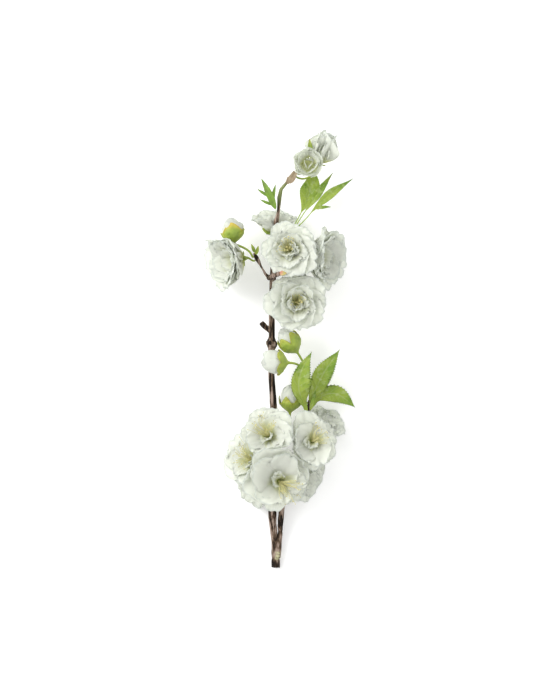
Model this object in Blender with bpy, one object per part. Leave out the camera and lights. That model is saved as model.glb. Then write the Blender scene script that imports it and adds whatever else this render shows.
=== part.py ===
"""A cut sprig of double white cherry blossom, lying on a surface.

Everything is worked out in millimetres in a drawing frame whose origin is the centre of the cut end,
with +Y running up the sprig and the surface at z = 0. The finished solids are made in metres, and the
last step moves them so that the origin is the middle of the base of the sprig's box.
"""

import math

import bmesh
import bpy
import numpy as np

METRE = 0.001

# Sheet and fit
SHEET = 0.6  # thickness of a petal
LEAF_SHEET = 0.5
GAP = 0.3  # what two neighbouring pieces keep between them
SEAT_GAP = 0.5  # the same, where a stalk's flat end meets a round stem
CLEAR = SHEET / 2 + 0.25  # how far a petal's middle stays from the limit of its own space
BEND = 1.5  # how softly a petal turns where it meets that limit
EASING = 2  # rounds of easing where it was pushed
SLIDE = 0.6  # how far a petal rides up there, for each millimetre that it is pushed back

# Petal counts and grids
LOBES = 5
PER_LOBE = 4
SEGMENTS = LOBES * PER_LOBE
OUTER_STEPS = (0.0, 0.3, 0.66, 1.0)
INNER_STEPS = (0.0, 0.45, 1.0)
INNER_SHARE = 0.7  # length of the inner petals against the outer ones
INNER_CLEAR = 1.8  # what the inner petals keep from the outer ones where both are pushed back
HUB_OUTER = 1.9
HUB_INNER = 1.5
HUB_RISE = 0.95  # from the outer whorl's middle to the inner whorl's middle at the hub
FLOOR = GAP + SHEET / 2
SURFACE_DROP = 1.86  # how far the bend at the surface's limit would otherwise hold petals above it

# Calyx and pedicel
CALYX_SIDES = 2 * LOBES
CALYX_LENGTH = 6.0
CALYX_RINGS = ((6.0, 0.9), (4.4, 1.5), (2.6, 2.4), (1.2, 2.7), (0.0, 2.6))
PEDICEL_RADIUS = 0.9
STALK_STEP = 4.0
SEPAL_LENGTH = 5.0

# Stamens
FILAMENTS = 8
STAMEN_HUB = 1.15
STAMEN_HUB_RISE = 1.6
STAMEN_REACH = 0.48  # against the length of the outer petals
STAMEN_SPREAD = 0.36  # how far the tips lean out, against their reach
STAMEN_TIP = 0.32

TWIG_SIDES = 10
PETIOLE_RADIUS = 0.75

# The stems: x, y, z, radius. The wider foot is the moulded sleeve, and the short swellings are nodes.
MAIN_STEM = (
    (0.0, 0.0, 4.0, 4.0),
    (0.1, 6.5, 4.05, 4.0),
    (0.1, 8.0, 4.2, 3.65),
    (0.0, 11.5, 4.4, 3.75),
    (-0.2, 15.0, 4.9, 3.8),
    (-0.4, 17.5, 5.3, 3.45),
    (-0.9, 27.0, 7.2, 3.4),
    (-2.6, 40.0, 9.8, 3.45),
    (-3.3, 55.0, 12.8, 3.5),
    (-3.3, 78.0, 17.2, 3.4),
    (-2.6, 105.0, 21.6, 3.3),
    (-1.9, 132.0, 24.2, 3.25),
    (-1.9, 149.0, 25.3, 3.2),
    (-3.4, 170.0, 26.2, 2.95),
    (-4.2, 189.0, 26.6, 2.85),
    (-3.7, 200.0, 26.7, 3.2),
    (-3.5, 206.0, 26.8, 4.3),
    (-3.5, 211.0, 26.9, 3.0),
    (-3.4, 240.0, 27.2, 2.8),
    (-2.6, 262.0, 27.4, 3.0),
    (-1.8, 280.0, 27.4, 2.7),
    (-0.6, 300.0, 27.4, 2.5),
    (0.4, 314.0, 27.4, 2.4),
    (2.7, 326.0, 27.0, 1.5),
    (3.4, 338.0, 27.0, 2.1),
    (5.0, 345.5, 27.0, 1.7),
    (9.6, 350.8, 27.0, 1.4),
    (13.4, 355.0, 27.0, 2.7),
    (16.9, 359.8, 27.0, 2.3),
    (18.8, 362.8, 27.0, 1.0),
)
MAIN_TWIG = (
    (-3.4, 215.5, 27.0, 2.3),
    (-7.2, 218.5, 27.2, 2.3),
    (-11.0, 222.0, 27.6, 2.7),
    (-13.2, 224.5, 28.0, 2.3),
)
SIDE_BRANCH = (
    (4.3, 27.0, 7.2, 1.2),
    (4.2, 38.0, 10.0, 2.5),
    (5.2, 52.0, 13.4, 2.75),
    (9.0, 70.0, 16.6, 2.3),
    (14.5, 92.0, 19.0, 2.0),
    (22.0, 118.0, 21.0, 1.6),
    (28.2, 138.0, 22.4, 1.5),
    (30.0, 147.0, 23.0, 1.6),
    (30.8, 154.0, 23.6, 1.1),
)
SPUR = (
    (-6.05, 266.0, 27.5, 1.9),
    (-7.8, 266.8, 27.5, 1.6),
    (-10.6, 270.8, 27.4, 1.1),
    (-13.7, 276.3, 27.2, 1.0),
    (-15.6, 280.0, 27.2, 1.9),
    (-17.8, 284.0, 27.1, 2.0),
    (-20.0, 287.4, 27.0, 1.0),
)


def unit(v):
    v = np.asarray(v, float)
    return v / np.linalg.norm(v)


def cubic(a, b, leaving, arriving, t):
    """Where t lies, from 0 to 1, on the cubic from a to b that has these slopes at its ends."""
    ends = (2 * t**3 - 3 * t**2 + 1) * a + (3 * t**2 - 2 * t**3) * b
    return ends + (t**3 - 2 * t**2 + t) * leaving + (t**3 - t**2) * arriving


def smooth_line(knots, per_span):
    """A smooth curve through rows that start with x, y and z, the last one included, with no overshoot."""
    rows = np.asarray(knots, float)
    chord = np.linalg.norm(np.diff(rows[:, :3], axis=0), axis=1)[:, None]
    slope = np.diff(rows, axis=0) / chord
    inner = (slope[:-1] * chord[1:] + slope[1:] * chord[:-1]) / (chord[1:] + chord[:-1])
    slopes = np.vstack([slope[:1], inner, slope[-1:]])
    out = []
    for a, b, u, v, size in zip(rows, rows[1:], slopes, slopes[1:], chord):
        for k in range(per_span):
            out.append(cubic(a, b, size * u, size * v, k / per_span))
    out.append(rows[-1])
    return np.array(out)


def spaced(line, gap):
    """The same line with its points about a given distance apart."""
    travel = np.concatenate([[0], np.cumsum(np.linalg.norm(np.diff(line[:, :3], axis=0), axis=1))])
    even = np.linspace(0, travel[-1], max(3, round(travel[-1] / gap) + 1))
    return np.stack([np.interp(even, travel, column) for column in line.T], axis=1)


def from_seat(seat, knots, gap):
    """A smooth line straight out of a seat's two points and on through the knots."""
    return np.vstack([seat[0], spaced(smooth_line([*seat, *knots], 6)[6:], gap)])


def tangents(points):
    return np.array([unit(v) for v in np.gradient(points, axis=0)])


def carried_frames(points):
    """Side and up vectors along a line, with no twist."""
    along = tangents(points)
    side = unit(np.cross(along[0], (0.31, 0.17, 0.93)))
    sides = [side]
    for t in along[1:]:
        side = unit(side - t * np.dot(side, t))
        sides.append(side)
    sides = np.array(sides)
    return sides, np.cross(along, sides)


def tube_rings(points, radii, sides):
    across, up = carried_frames(points)
    turn = 2 * math.pi * np.arange(sides) / sides
    wheel = np.cos(turn)[None, :, None] * across[:, None] + np.sin(turn)[None, :, None] * up[:, None]
    return [p + r * w for p, r, w in zip(points, radii, wheel)]


def lofted(rings, rim=None):
    """Points and faces of rings joined in order. A ring of one point is a pole, and an open end is capped.

    From the rim's ring on, faces are split the other way, so that the two sides of a thin wall match.
    """
    points, starts = [], []
    for ring in rings:
        starts.append(len(points))
        points.extend(ring)
    faces = []
    for k in range(len(rings) - 1):
        a, b, n, m = starts[k], starts[k + 1], len(rings[k]), len(rings[k + 1])
        for j in range(max(n, m)):
            i = (j + 1) % max(n, m)
            if n == 1:
                faces.append((a, b + j, b + i))
            elif m == 1:
                faces.append((a + j, a + i, b))
            elif rim is None:
                faces.append((a + j, a + i, b + i, b + j))
            elif k < rim:
                faces += [(a + j, a + i, b + i), (a + j, b + i, b + j)]
            else:
                faces += [(a + j, a + i, b + j), (a + i, b + i, b + j)]
    if len(rings[0]) > 1:
        faces.append(tuple(range(len(rings[0]))))
    if len(rings[-1]) > 1:
        faces.append(tuple(starts[-1] + j for j in reversed(range(len(rings[-1])))))
    return points, faces


MATERIALS = {
    "petal": ((0.93, 0.94, 0.90), 0.75),
    "stamen": ((0.80, 0.82, 0.35), 0.5),
    "calyx": ((0.42, 0.55, 0.08), 0.5),
    "leaf": ((0.30, 0.50, 0.08), 0.5),
    "bark": ((0.14, 0.09, 0.06), 0.7),
}


def finish_of(kind):
    name = "sprig_" + kind
    if name in bpy.data.materials:
        return bpy.data.materials[name]
    colour, roughness = MATERIALS[kind]
    made = bpy.data.materials.new(name)
    made.use_nodes = True
    shader = made.node_tree.nodes["Principled BSDF"]
    shader.inputs["Base Color"].default_value = (*colour, 1)
    shader.inputs["Roughness"].default_value = roughness
    shader.inputs["Metallic"].default_value = 0
    return made


def solid(name, points, faces, kind):
    """One closed object from points in millimetres, its faces turned outwards."""
    mesh = bpy.data.meshes.new(name)
    mesh.from_pydata([tuple(np.asarray(p) * METRE) for p in points], [], faces)
    shell = bmesh.new()
    shell.from_mesh(mesh)
    bmesh.ops.recalc_face_normals(shell, faces=shell.faces)
    bmesh.ops.triangulate(shell, faces=[f for f in shell.faces if len(f.verts) > 4])
    shell.to_mesh(mesh)
    shell.free()
    made = bpy.data.objects.new(name, mesh)
    bpy.context.scene.collection.objects.link(made)
    mesh.materials.append(finish_of(kind))
    mesh.shade_smooth()
    mesh.set_sharp_from_angle(angle=math.radians(50))
    return made


def joined(name, pieces, kind):
    """The Boolean union of closed objects, as one object."""
    body = pieces[0]
    for other in pieces[1:]:
        union = body.modifiers.new("union", "BOOLEAN")
        union.operation = "UNION"
        union.object = other
    bpy.context.view_layer.update()
    graph = bpy.context.evaluated_depsgraph_get()
    mesh = bpy.data.meshes.new_from_object(body.evaluated_get(graph))
    for piece in pieces:
        bpy.data.objects.remove(piece)
    made = bpy.data.objects.new(name, mesh)
    bpy.context.scene.collection.objects.link(made)
    mesh.materials.clear()
    mesh.materials.append(finish_of(kind))
    mesh.shade_smooth()
    mesh.set_sharp_from_angle(angle=math.radians(50))
    return made


def shell_of(points, faces):
    """An editable mesh with its faces turned outwards, and those faces in order."""
    shell = bmesh.new()
    corners = [shell.verts.new(p) for p in points]
    made = [shell.faces.new([corners[i] for i in f]) for f in faces]
    bmesh.ops.recalc_face_normals(shell, faces=shell.faces)
    return shell, made


def drawn_out(shell, face, scale, shift):
    """Extrudes a face, scales it about its middle and shifts it. Returns the face at the end."""
    middle = np.array(face.calc_center_median())
    fresh = bmesh.ops.extrude_discrete_faces(shell, faces=[face])["faces"][0]
    for v in fresh.verts:
        v.co = middle + (np.array(v.co) - middle) * scale + shift
    return fresh


def solid_of_shell(name, shell, kind):
    shell.verts.index_update()
    points = [np.array(v.co) for v in shell.verts]
    faces = [tuple(v.index for v in f.verts) for f in shell.faces]
    shell.free()
    return solid(name, points, faces, kind)


def tube(name, knots, kind, sides=TWIG_SIDES, per_span=2):
    line = smooth_line(knots, per_span)
    return solid(name, *lofted(tube_rings(line[:, :3], line[:, 3], sides)), kind)


# ---------------------------------------------------------------- blossoms

# For each open blossom: the base point of its petals, the way it faces, petal length, start and end slope of
# the outer petals in degrees above the plane of the blossom, the same for the inner petals where they can be
# seen, whether the stamens can, the stem it grows from and how far up the sprig, and its turn in petals.
BLOSSOMS = {
    "lower_front": ((2.5, 81.5, 37), (0.06, -0.05, 0.99), 31.0, (50, 6), (66, 46), True, ("main", 62), 0.2),
    "lower_upper": ((-6, 120.5, 37), (-0.16, 0.32, 0.92), 25.0, (54, 8), (68, 46), True, ("main", 107), 0.5),
    "lower_left": ((-19, 99, 32), (-0.52, 0.24, 0.79), 25.0, (52, 8), (68, 46), True, ("main", 86), 0.1),
    "lower_right": ((32.5, 117, 36), (0.12, 0.0, 0.99), 25.5, (52, 8), (68, 46), True, ("side", 98), 0.8),
    "lower_far_right": ((42, 127, 11), (0.46, 0.68, 0.46), 20.0, (50, 12), None, False, ("side", 120), 0.3),
    "lower_under_right": ((23, 84, 13.8), (0.80, -0.30, 0.42), 23.0, (52, 10), None, False, ("side", 70), 0.6),
    "lower_under_left": ((-14, 79, 11.8), (-0.68, -0.50, 0.42), 22.0, (52, 10), None, False, ("main", 60), 0.0),
    "upper_front": ((13.5, 290, 40), (-0.12, 0.02, 0.99), 29.0, (52, 8), (68, 50), True, ("main", 276), 0.4),
    "upper_lower": ((18, 243.5, 37), (0.10, -0.14, 0.96), 29.0, (50, 6), (66, 46), True, ("main", 256), 0.7),
    "upper_right": ((31, 284.5, 26), (0.80, -0.04, 0.55), 31.0, (54, 16), (72, 54), False, ("main", 268), 0.2),
    "upper_back": ((-2, 306, 15.5), (0.02, 0.90, 0.26), 21.0, (52, 14), None, False, ("main", 298), 0.9),
    "left": ((-30, 282.5, 26), (-0.84, -0.14, 0.48), 33.0, (58, 18), (74, 56), False, ("spur", 282), 0.6),
}
HALF_OPEN = {
    "near": ((30, 367, 35), (-0.10, 0.16, 0.96), 18.0, (70, 34), None, False, ("main", 361), 0.2),
    "far": ((39, 369, 27), (0.30, 0.90, 0.26), 27.5, (66, 54), None, False, ("main", 358.5), 0.6),
}


class Frame:
    """A piece's own axes: where it starts, and the way it faces."""

    def __init__(self, base, facing, roll=0.0):
        self.base = np.asarray(base, float)
        self.axis = unit(facing)
        level = unit(np.cross(self.axis, (0.0, 0.0, 1.0) if abs(self.axis[2]) < 0.9 else (0.0, 1.0, 0.0)))
        other = np.cross(self.axis, level)
        angle = 2 * math.pi * roll / LOBES
        self.right = math.cos(angle) * level + math.sin(angle) * other
        self.up = np.cross(self.axis, self.right)

    def at(self, radius, turn, height):
        radius, turn, height = np.broadcast_arrays(radius, turn, height)
        flat = (radius * np.cos(turn))[..., None] * self.right + (radius * np.sin(turn))[..., None] * self.up
        return self.base + flat + height[..., None] * self.axis


class Blossom:
    def __init__(self, base, facing, length, outer, inner, stamened, seat, roll):
        self.frame = Frame(base, facing, roll)
        self.length = length
        self.outer = outer
        self.inner = inner
        self.stamened = stamened
        self.seat = seat
        self.heart = self.frame.base + self.frame.axis * (0.35 * length)
        self.limits = []


def keep_apart(blossoms, stems):
    """Gives each blossom the planes that bound its own space, against neighbours, stems and the surface."""
    for one in blossoms:
        one.limits.append((np.array((0.0, 0.0, -SURFACE_DROP)), np.array((0.0, 0.0, -1.0))))
        for stem in stems:
            nearest, outward = stem.nearest(one.heart)
            if np.linalg.norm(nearest - one.heart) < 1.2 * one.length:
                one.limits.append((nearest, outward))
        for other in blossoms:
            span = other.heart - one.heart
            apart = np.linalg.norm(span)
            if other is one or apart > 1.1 * (one.length + other.length):
                continue
            share = one.length / (one.length + other.length)
            one.limits.append((one.heart + share * span, span / apart))


def petal_arc(length, slopes, steps):
    """Radius and height along a petal that bends evenly from its first slope to its last."""
    fine = np.linspace(0, 1, 41)
    slope = np.radians(slopes[0] + (slopes[1] - slopes[0]) * fine)
    travel = np.concatenate([[0], np.cumsum(np.diff(fine))])
    radius = np.concatenate([[0], np.cumsum(np.cos(slope[:-1]) * np.diff(travel))]) * length
    height = np.concatenate([[0], np.cumsum(np.sin(slope[:-1]) * np.diff(travel))]) * length
    return np.interp(steps, fine, radius), np.interp(steps, fine, height)


def whorl(blossom, length, slopes, steps, hub, floor, half_turn, rng):
    """The middle surface of one whorl of petals, as rows of points from the hub to the rim."""
    grid = np.zeros((len(steps), SEGMENTS, 3))
    stretch = rng.uniform(-0.06, 0.06, LOBES)
    lift = rng.uniform(-7, 7, LOBES)
    for j in range(SEGMENTS):
        place = j / PER_LOBE
        lobe, across = int(place) % LOBES, place % 1
        middle = math.sin(math.pi * across)
        reach = length * (0.80 + 0.20 * math.sqrt(middle)) * (1 + stretch[lobe] * middle)
        radius, height = petal_arc(reach, np.array(slopes) + lift[lobe] * middle, steps)
        turn = 2 * math.pi * (place + half_turn) / LOBES
        grid[:, j] = blossom.frame.at(hub + radius, turn, floor + height)
    return grid


def confined(points, blossom, clear, slide):
    """Points moved back inside the blossom's own space. What is pushed back can ride up along the limit."""
    flat = points.reshape(-1, 3).copy()
    for turn in range(5):
        for at, outward in blossom.limits:
            room = (at - flat) @ outward - clear
            kept = np.where(room > BEND, room, np.where(room < -BEND, 0.0, (room + BEND) ** 2 / (4 * BEND)))
            pushed = kept - room
            rise = blossom.frame.axis - outward * (blossom.frame.axis @ outward)
            size = np.linalg.norm(rise)
            rise = slide * rise / size if turn == 0 and size > 0.2 else 0 * rise
            flat += pushed[:, None] * (rise - outward)
    return flat.reshape(points.shape)


def settled(grid, blossom, clear):
    """A whorl confined to the blossom's own space, and eased round its creases where it was pushed."""
    out = confined(grid, blossom, clear, SLIDE)
    pushed = np.clip(np.linalg.norm(out - grid, axis=2, keepdims=True) / 2, 0, 1)
    for _ in range(EASING):
        around = (np.roll(out, 1, axis=1) + np.roll(out, -1, axis=1)) / 2 - out
        around[0] = 0
        out = confined(out + 0.5 * pushed * around, blossom, clear, 0)
    return out


def sheet_normals(grid):
    """The mean normal of the faces round each point."""
    ahead = np.roll(grid, -1, axis=1)
    face = np.cross(ahead[1:] - grid[:-1], grid[1:] - ahead[:-1])
    face /= np.linalg.norm(face, axis=2, keepdims=True)
    face = np.concatenate([face[:1], face, face[-1:]])
    normal = face[:-1] + face[1:]
    normal += np.roll(normal, 1, axis=1)
    return normal / np.linalg.norm(normal, axis=2, keepdims=True)


def sheet(name, blossom, grid):
    """A whorl's middle surface made into one closed sheet, its centre closed over the calyx."""
    offset = sheet_normals(grid) * SHEET / 2
    if np.sum(offset @ blossom.frame.axis) < 0:
        offset = -offset
    middle = (grid[0].mean(axis=0) - blossom.frame.base) @ blossom.frame.axis
    rings = [[blossom.frame.at(0.0, 0.0, middle - SHEET / 2)]]
    rings += list(grid - offset)
    rings += list((grid + offset)[::-1])
    rings.append([blossom.frame.at(0.0, 0.0, middle + SHEET / 2)])
    return solid(name, *lofted(rings, rim=len(grid)), "petal")


def petals(name, blossom, seed):
    """The outer whorl, and the inner one if the blossom has its own."""
    rng = np.random.default_rng(seed)
    outer = whorl(blossom, blossom.length, blossom.outer, OUTER_STEPS, HUB_OUTER, FLOOR, 0.0, rng)
    outer = settled(outer, blossom, CLEAR)
    if blossom.inner is None:
        sheet(f"{name}_petals", blossom, outer)
        return
    length = INNER_SHARE * blossom.length
    inner = whorl(blossom, length, blossom.inner, INNER_STEPS, HUB_INNER, FLOOR + HUB_RISE, 0.5, rng)
    sheet(f"{name}_outer_petals", blossom, outer)
    sheet(f"{name}_inner_petals", blossom, settled(inner, blossom, CLEAR + INNER_CLEAR))


def stamens(name, blossom):
    """A small hub with a crown of tapering filaments round one pistil."""
    frame = blossom.frame
    floor = FLOOR + HUB_RISE + SHEET / 2 + GAP
    turn = 2 * math.pi * np.arange(FILAMENTS) / FILAMENTS
    hub = [frame.at(STAMEN_HUB, turn, floor), frame.at(STAMEN_HUB, turn, floor + STAMEN_HUB_RISE)]
    shell, faces = shell_of(*lofted(hub))
    reach = STAMEN_REACH * blossom.length
    pistil = faces[-1]
    for face, angle in zip(faces, turn + math.pi / FILAMENTS):
        tip = frame.at(STAMEN_SPREAD * reach, angle, floor + reach)
        drawn_out(shell, face, STAMEN_TIP, tip - np.array(face.calc_center_median()))
    tip = frame.at(0.0, 0.0, floor + reach)
    drawn_out(shell, pistil, STAMEN_TIP, tip - np.array(pistil.calc_center_median()))
    return solid_of_shell(f"{name}_stamens", shell, "stamen")


def hermite(start, leaving, end, arriving, count):
    """Points on a smooth curve from start to end that leaves and arrives in these directions."""
    a, b = np.asarray(start, float), np.asarray(end, float)
    span = np.linalg.norm(b - a)
    return cubic(a, b, unit(leaving) * span, unit(arriving) * span, np.linspace(0, 1, count)[:, None])


class Stem:
    """A stem's line, for seating what grows from it."""

    def __init__(self, knots):
        self.line = smooth_line(knots, 8)

    def seat(self, up_sprig, toward):
        """Two points straight out from the stem on the side facing a point, the first just clear of it."""
        k = int(np.argmin(np.abs(self.line[:, 1] - up_sprig)))
        middle, radius = self.line[k, :3], self.line[k, 3]
        along = tangents(self.line[:, :3])[k]
        out = np.asarray(toward, float) - middle
        out = unit(out - along * (out @ along))
        seat = middle + out * (radius + SEAT_GAP)
        return seat, seat + 1.8 * out

    def nearest(self, point):
        """The point of the stem's surface nearest to a point, and the way to it."""
        gaps = self.line[:, :3] - point
        k = int(np.argmin(np.linalg.norm(gaps, axis=1) - self.line[:, 3]))
        toward = unit(gaps[k])
        return self.line[k, :3] - toward * self.line[k, 3], toward


def calyx_tube(base, axis, seat, clear):
    """Points and radii from a seat on a stem to the top of a calyx."""
    curve = hermite(clear, clear - seat, base - axis * CALYX_LENGTH, axis, 24)
    stalk = [seat, *spaced(curve, STALK_STEP)[:-1]]
    points = stalk + [base - axis * back for back, _ in CALYX_RINGS]
    return np.array(points), np.array([PEDICEL_RADIUS] * len(stalk) + [r for _, r in CALYX_RINGS])


def star_calyx(name, blossom, stems):
    """A pedicel that swells into a calyx, with five pointed sepals drawn out of its rim."""
    base, axis = blossom.frame.base, blossom.frame.axis
    stem, up_sprig = blossom.seat
    points, radii = calyx_tube(base, axis, *stems[stem].seat(up_sprig, base - axis * CALYX_LENGTH))
    shell, faces = shell_of(*lofted(tube_rings(points, radii, CALYX_SIDES)))
    rim = faces[(len(points) - 2) * CALYX_SIDES : (len(points) - 1) * CALYX_SIDES]
    for face in rim[::2]:
        out = np.array(face.calc_center_median()) - base
        out = SEPAL_LENGTH * unit(out - axis * (out @ axis))
        half_way = drawn_out(shell, face, 1.15, 0.45 * out + 0.1 * axis)
        drawn_out(shell, half_way, 0.25, 0.55 * out + 0.3 * axis)
    return solid_of_shell(f"{name}_calyx", shell, "calyx")


# ---------------------------------------------------------------- buds

# For each bud: the foot of its calyx, the way it points, the radius and length of its petals, how far up them
# the calyx reaches as a share of their length, the stem it grows from and how far up the sprig, and the points
# its pedicel passes through.
BUDS = {
    "main_side": (
        (11, 188, 41), (-1.0, 0.03, 0.0), 10.2, 22.0, 0.55,
        ("side", 151), ((28.0, 158.0, 25.8), (26.5, 175.0, 31.0), (19.0, 187.0, 39.0)),
    ),
    "leaf_side": (
        (19.5, 197.5, 28), (-0.58, 0.80, 0.10), 8.6, 24.0, 0.70,
        ("side", 153), ((32.4, 164.0, 21.5), (29.0, 180.0, 23.0), (23.0, 192.0, 26.5)),
    ),
    "lower": (
        (13, 143, 21), (0.03, 1.0, 0.0), 8.6, 23.0, 0.50,
        ("main", 122), ((5.5, 123.5, 22.5), (11.0, 129.0, 21.2), (12.8, 137.0, 21.0)),
    ),
    "left": (
        (-37.5, 297, 28), (-0.16, 0.96, 0.20), 9.0, 21.0, 0.55,
        ("spur", 285), ((-22.5, 287.6, 29.0), (-27.5, 291.6, 29.0), (-33.0, 294.0, 28.4)),
    ),
}
BUD_STEPS = (0.0, 0.07, 0.22, 0.42, 0.62, 0.80, 0.93, 1.0)
BUD_SIDES = 10
CUP_WALL = 0.8
CUP_FOOT = 1.2


def bud_girth(share):
    """Radius of a bud, as a share of its widest, at a share of its length."""
    return math.sin(math.pi * share**0.72) ** 0.62 if 0 < share < 1 else 0.0


def bud_petals(name, frame, radius, length):
    """The closed petals, with a shallow twisted fold from base to tip."""
    turn = 2 * math.pi * np.arange(BUD_SIDES) / BUD_SIDES
    rings = []
    for share in BUD_STEPS:
        lift = CUP_FOOT + CUP_WALL + GAP + share * length
        girth = bud_girth(share) * radius
        if girth == 0:
            rings.append([frame.at(0.0, 0.0, lift)])
            continue
        fold = 1 + 0.04 * share * np.where(np.arange(BUD_SIDES) % 2, 1, -1)
        rings.append(frame.at(girth * fold, turn, lift))
    return solid(f"{name}_petals", *lofted(rings), "petal")


def cup_calyx(name, frame, radius, length, cover, seat, route):
    """A pedicel that opens into a five-pointed cup round the foot of a bud."""
    turn = 2 * math.pi * np.arange(BUD_SIDES) / BUD_SIDES
    line = from_seat(seat, [*route, frame.base - 1.5 * frame.axis], STALK_STEP)
    stalk = tube_rings(line, np.linspace(PEDICEL_RADIUS, 1.1, len(line)), BUD_SIDES)
    foot = frame.at(1.7, turn, 0.0)
    lag = int(np.argmin([np.linalg.norm(np.roll(foot, -k, axis=0) - stalk[-1]) for k in range(BUD_SIDES)]))
    tips = np.where(np.arange(BUD_SIDES) % 2, 1.0, 0.66) * cover
    low = np.full(BUD_SIDES, BUD_STEPS[1])
    high = np.full(BUD_SIDES, BUD_STEPS[2])
    outside, inside = [], []
    for reach, wall in ((low, 1.0), (high, 0.9), ((high + tips) / 2, 0.8), (tips, 0.5)):
        girth = np.array([bud_girth(r) for r in reach]) * radius * 1.05 + GAP
        lift = CUP_FOOT + CUP_WALL + GAP + reach * length
        outside.append(frame.at(girth + wall, turn, lift))
        inside.append(frame.at(girth, turn, lift))
    outside[0] = outside[0] - 0.8 * frame.axis
    cup = [foot] + outside + inside[::-1]
    rings = stalk + [np.roll(ring, -lag, axis=0) for ring in cup]
    rings.append([frame.at(0.0, 0.0, CUP_FOOT + CUP_WALL)])
    return solid(f"{name}_calyx", *lofted(rings, rim=len(stalk) + len(outside)), "calyx")


# ---------------------------------------------------------------- leaves

# For each leaf: the stem it grows from and how far up the sprig, knots along the midrib from there to the tip,
# widest half width, share of the length that is bare petiole, how far the blade folds up along the midrib in
# degrees, how deep the edge is toothed, and how far apart its teeth are.
LEAVES = {
    "upper_broad": (
        ("main", 292),
        (
            (13, 306, 27.0), (22, 322, 26.0), (28.5, 336, 24.0),
            (33.0, 350, 21.0), (35.5, 366, 15.0),
        ),
        9.2, 0.42, 10, 0.08, 4.5,
    ),
    "upper_narrow": (
        ("main", 286),
        (
            (12, 301, 30.0), (22, 318, 31.0), (31, 331.0, 31.0),
            (41, 345, 31.0), (52.2, 360.5, 31.0),
        ),
        4.6, 0.46, 14, 0.08, 5.0,
    ),
    "upper_long": (
        ("main", 299),
        (
            (14, 306, 33.0), (26, 316.5, 36.0), (36, 328, 36.0),
            (49, 340, 36.0), (70, 354.5, 34.0),
        ),
        4.8, 0.36, 16, 0.08, 5.0,
    ),
    "upper_lobed": (
        ("main", 322),
        (
            (-0.6, 327, 31.4), (-4, 335, 32.0),
            (-8.5, 344, 32.0), (-13.2, 354.5, 31.0),
        ),
        6.5, 0.22, 8, 0.55, 4.2,
    ),
    "middle_left": (
        ("side", 146),
        (
            (24.6, 152, 31.0), (20.8, 163, 39.0), (21.5, 176, 44.0),
            (26.5, 188, 46.0), (32.7, 198, 46.0),
        ),
        9.2, 0.16, 8, 0.10, 3.6,
    ),
    "middle_right": (
        ("side", 149.5),
        (
            (33.5, 158, 28.0), (38.0, 168, 29.0), (45.0, 181, 29.5),
            (52.0, 191, 29.0), (58.2, 200, 28.0),
        ),
        8.2, 0.16, 10, 0.10, 3.6,
    ),
    "middle_drooping": (
        ("side", 148),
        (
            (37.0, 154, 22.5), (45.0, 159, 22.5), (54.0, 160, 21.5),
            (64.0, 154.5, 20.0), (72.5, 147, 18.0),
        ),
        7.2, 0.18, 12, 0.10, 3.2,
    ),
}


def blade_width(share, bare):
    """Half width of a leaf's blade, as a share of its widest, at a share of the midrib's length."""
    t = (share - bare) / (1 - bare)
    return (math.sin(math.pi * t**0.8) ** 0.9) * (1 - 0.12 * t) if 0 < t < 1 else 0.0


def leaf(name, seat, knots, half_width, bare, fold, teeth, step):
    """A petiole that opens into a toothed blade folded along its midrib, as one closed solid."""
    line = from_seat(seat, knots, step)
    travel = np.concatenate([[0], np.cumsum(np.linalg.norm(np.diff(line, axis=0), axis=1))])
    rings = []
    for k, (p, t, s) in enumerate(zip(line, tangents(line), travel / travel[-1])):
        across = unit(np.cross(t, (0.0, 0.0, 1.0)))
        up = np.cross(across, t)
        rib = PETIOLE_RADIUS * (1 - 0.6 * s)
        side = max(blade_width(s, bare) * half_width * (1 - teeth * (k % 2)), rib)
        edge = LEAF_SHEET / 2 if side > rib else 0.6 * rib
        out = side * across + side * math.tan(math.radians(fold)) * up + teeth * side * t
        back = out - 2 * side * across
        rings.append([p + back + edge * up, p + rib * up, p + out + edge * up])
        rings[-1] += [p + out - edge * up, p - rib * up, p + back - edge * up]
    return solid(name, *lofted(rings), "leaf")


def seated_at_base():
    """Moves everything so that the origin is the middle of the base of the sprig's box."""
    corners = np.array([v.co for o in bpy.data.objects for v in o.data.vertices])
    low, high = corners.min(axis=0), corners.max(axis=0)
    shift = np.array([(low[0] + high[0]) / 2, (low[1] + high[1]) / 2, low[2]])
    for o in bpy.data.objects:
        for v in o.data.vertices:
            v.co = np.array(v.co) - shift


def main():
    for o in list(bpy.data.objects):
        bpy.data.objects.remove(o)
    joined("main_stem", [tube("stem", MAIN_STEM, "bark", 10, 1), tube("twig", MAIN_TWIG, "bark", 8)], "bark")
    tube("side_branch", SIDE_BRANCH, "bark")
    tube("left_spur", SPUR, "bark")
    stems = {"main": Stem(MAIN_STEM), "side": Stem(SIDE_BRANCH), "spur": Stem(SPUR)}
    flowers = {f"blossom_{name}": Blossom(*row) for name, row in BLOSSOMS.items()}
    flowers |= {f"half_open_{name}": Blossom(*row) for name, row in HALF_OPEN.items()}
    keep_apart(list(flowers.values()), list(stems.values()))
    for seed, (name, flower) in enumerate(flowers.items()):
        petals(name, flower, seed)
        star_calyx(name, flower, stems)
        if flower.stamened:
            stamens(name, flower)
    for name, (foot, facing, radius, length, cover, (stem, up_sprig), route) in BUDS.items():
        frame = Frame(foot, facing)
        seat = stems[stem].seat(up_sprig, route[0])
        bud_petals(f"bud_{name}", frame, radius, length)
        cup_calyx(f"bud_{name}", frame, radius, length, cover, seat, route)
    for name, ((stem, up_sprig), knots, *shape) in LEAVES.items():
        leaf(f"leaf_{name}", stems[stem].seat(up_sprig, knots[0]), knots, *shape)
    seated_at_base()


main()
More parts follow.
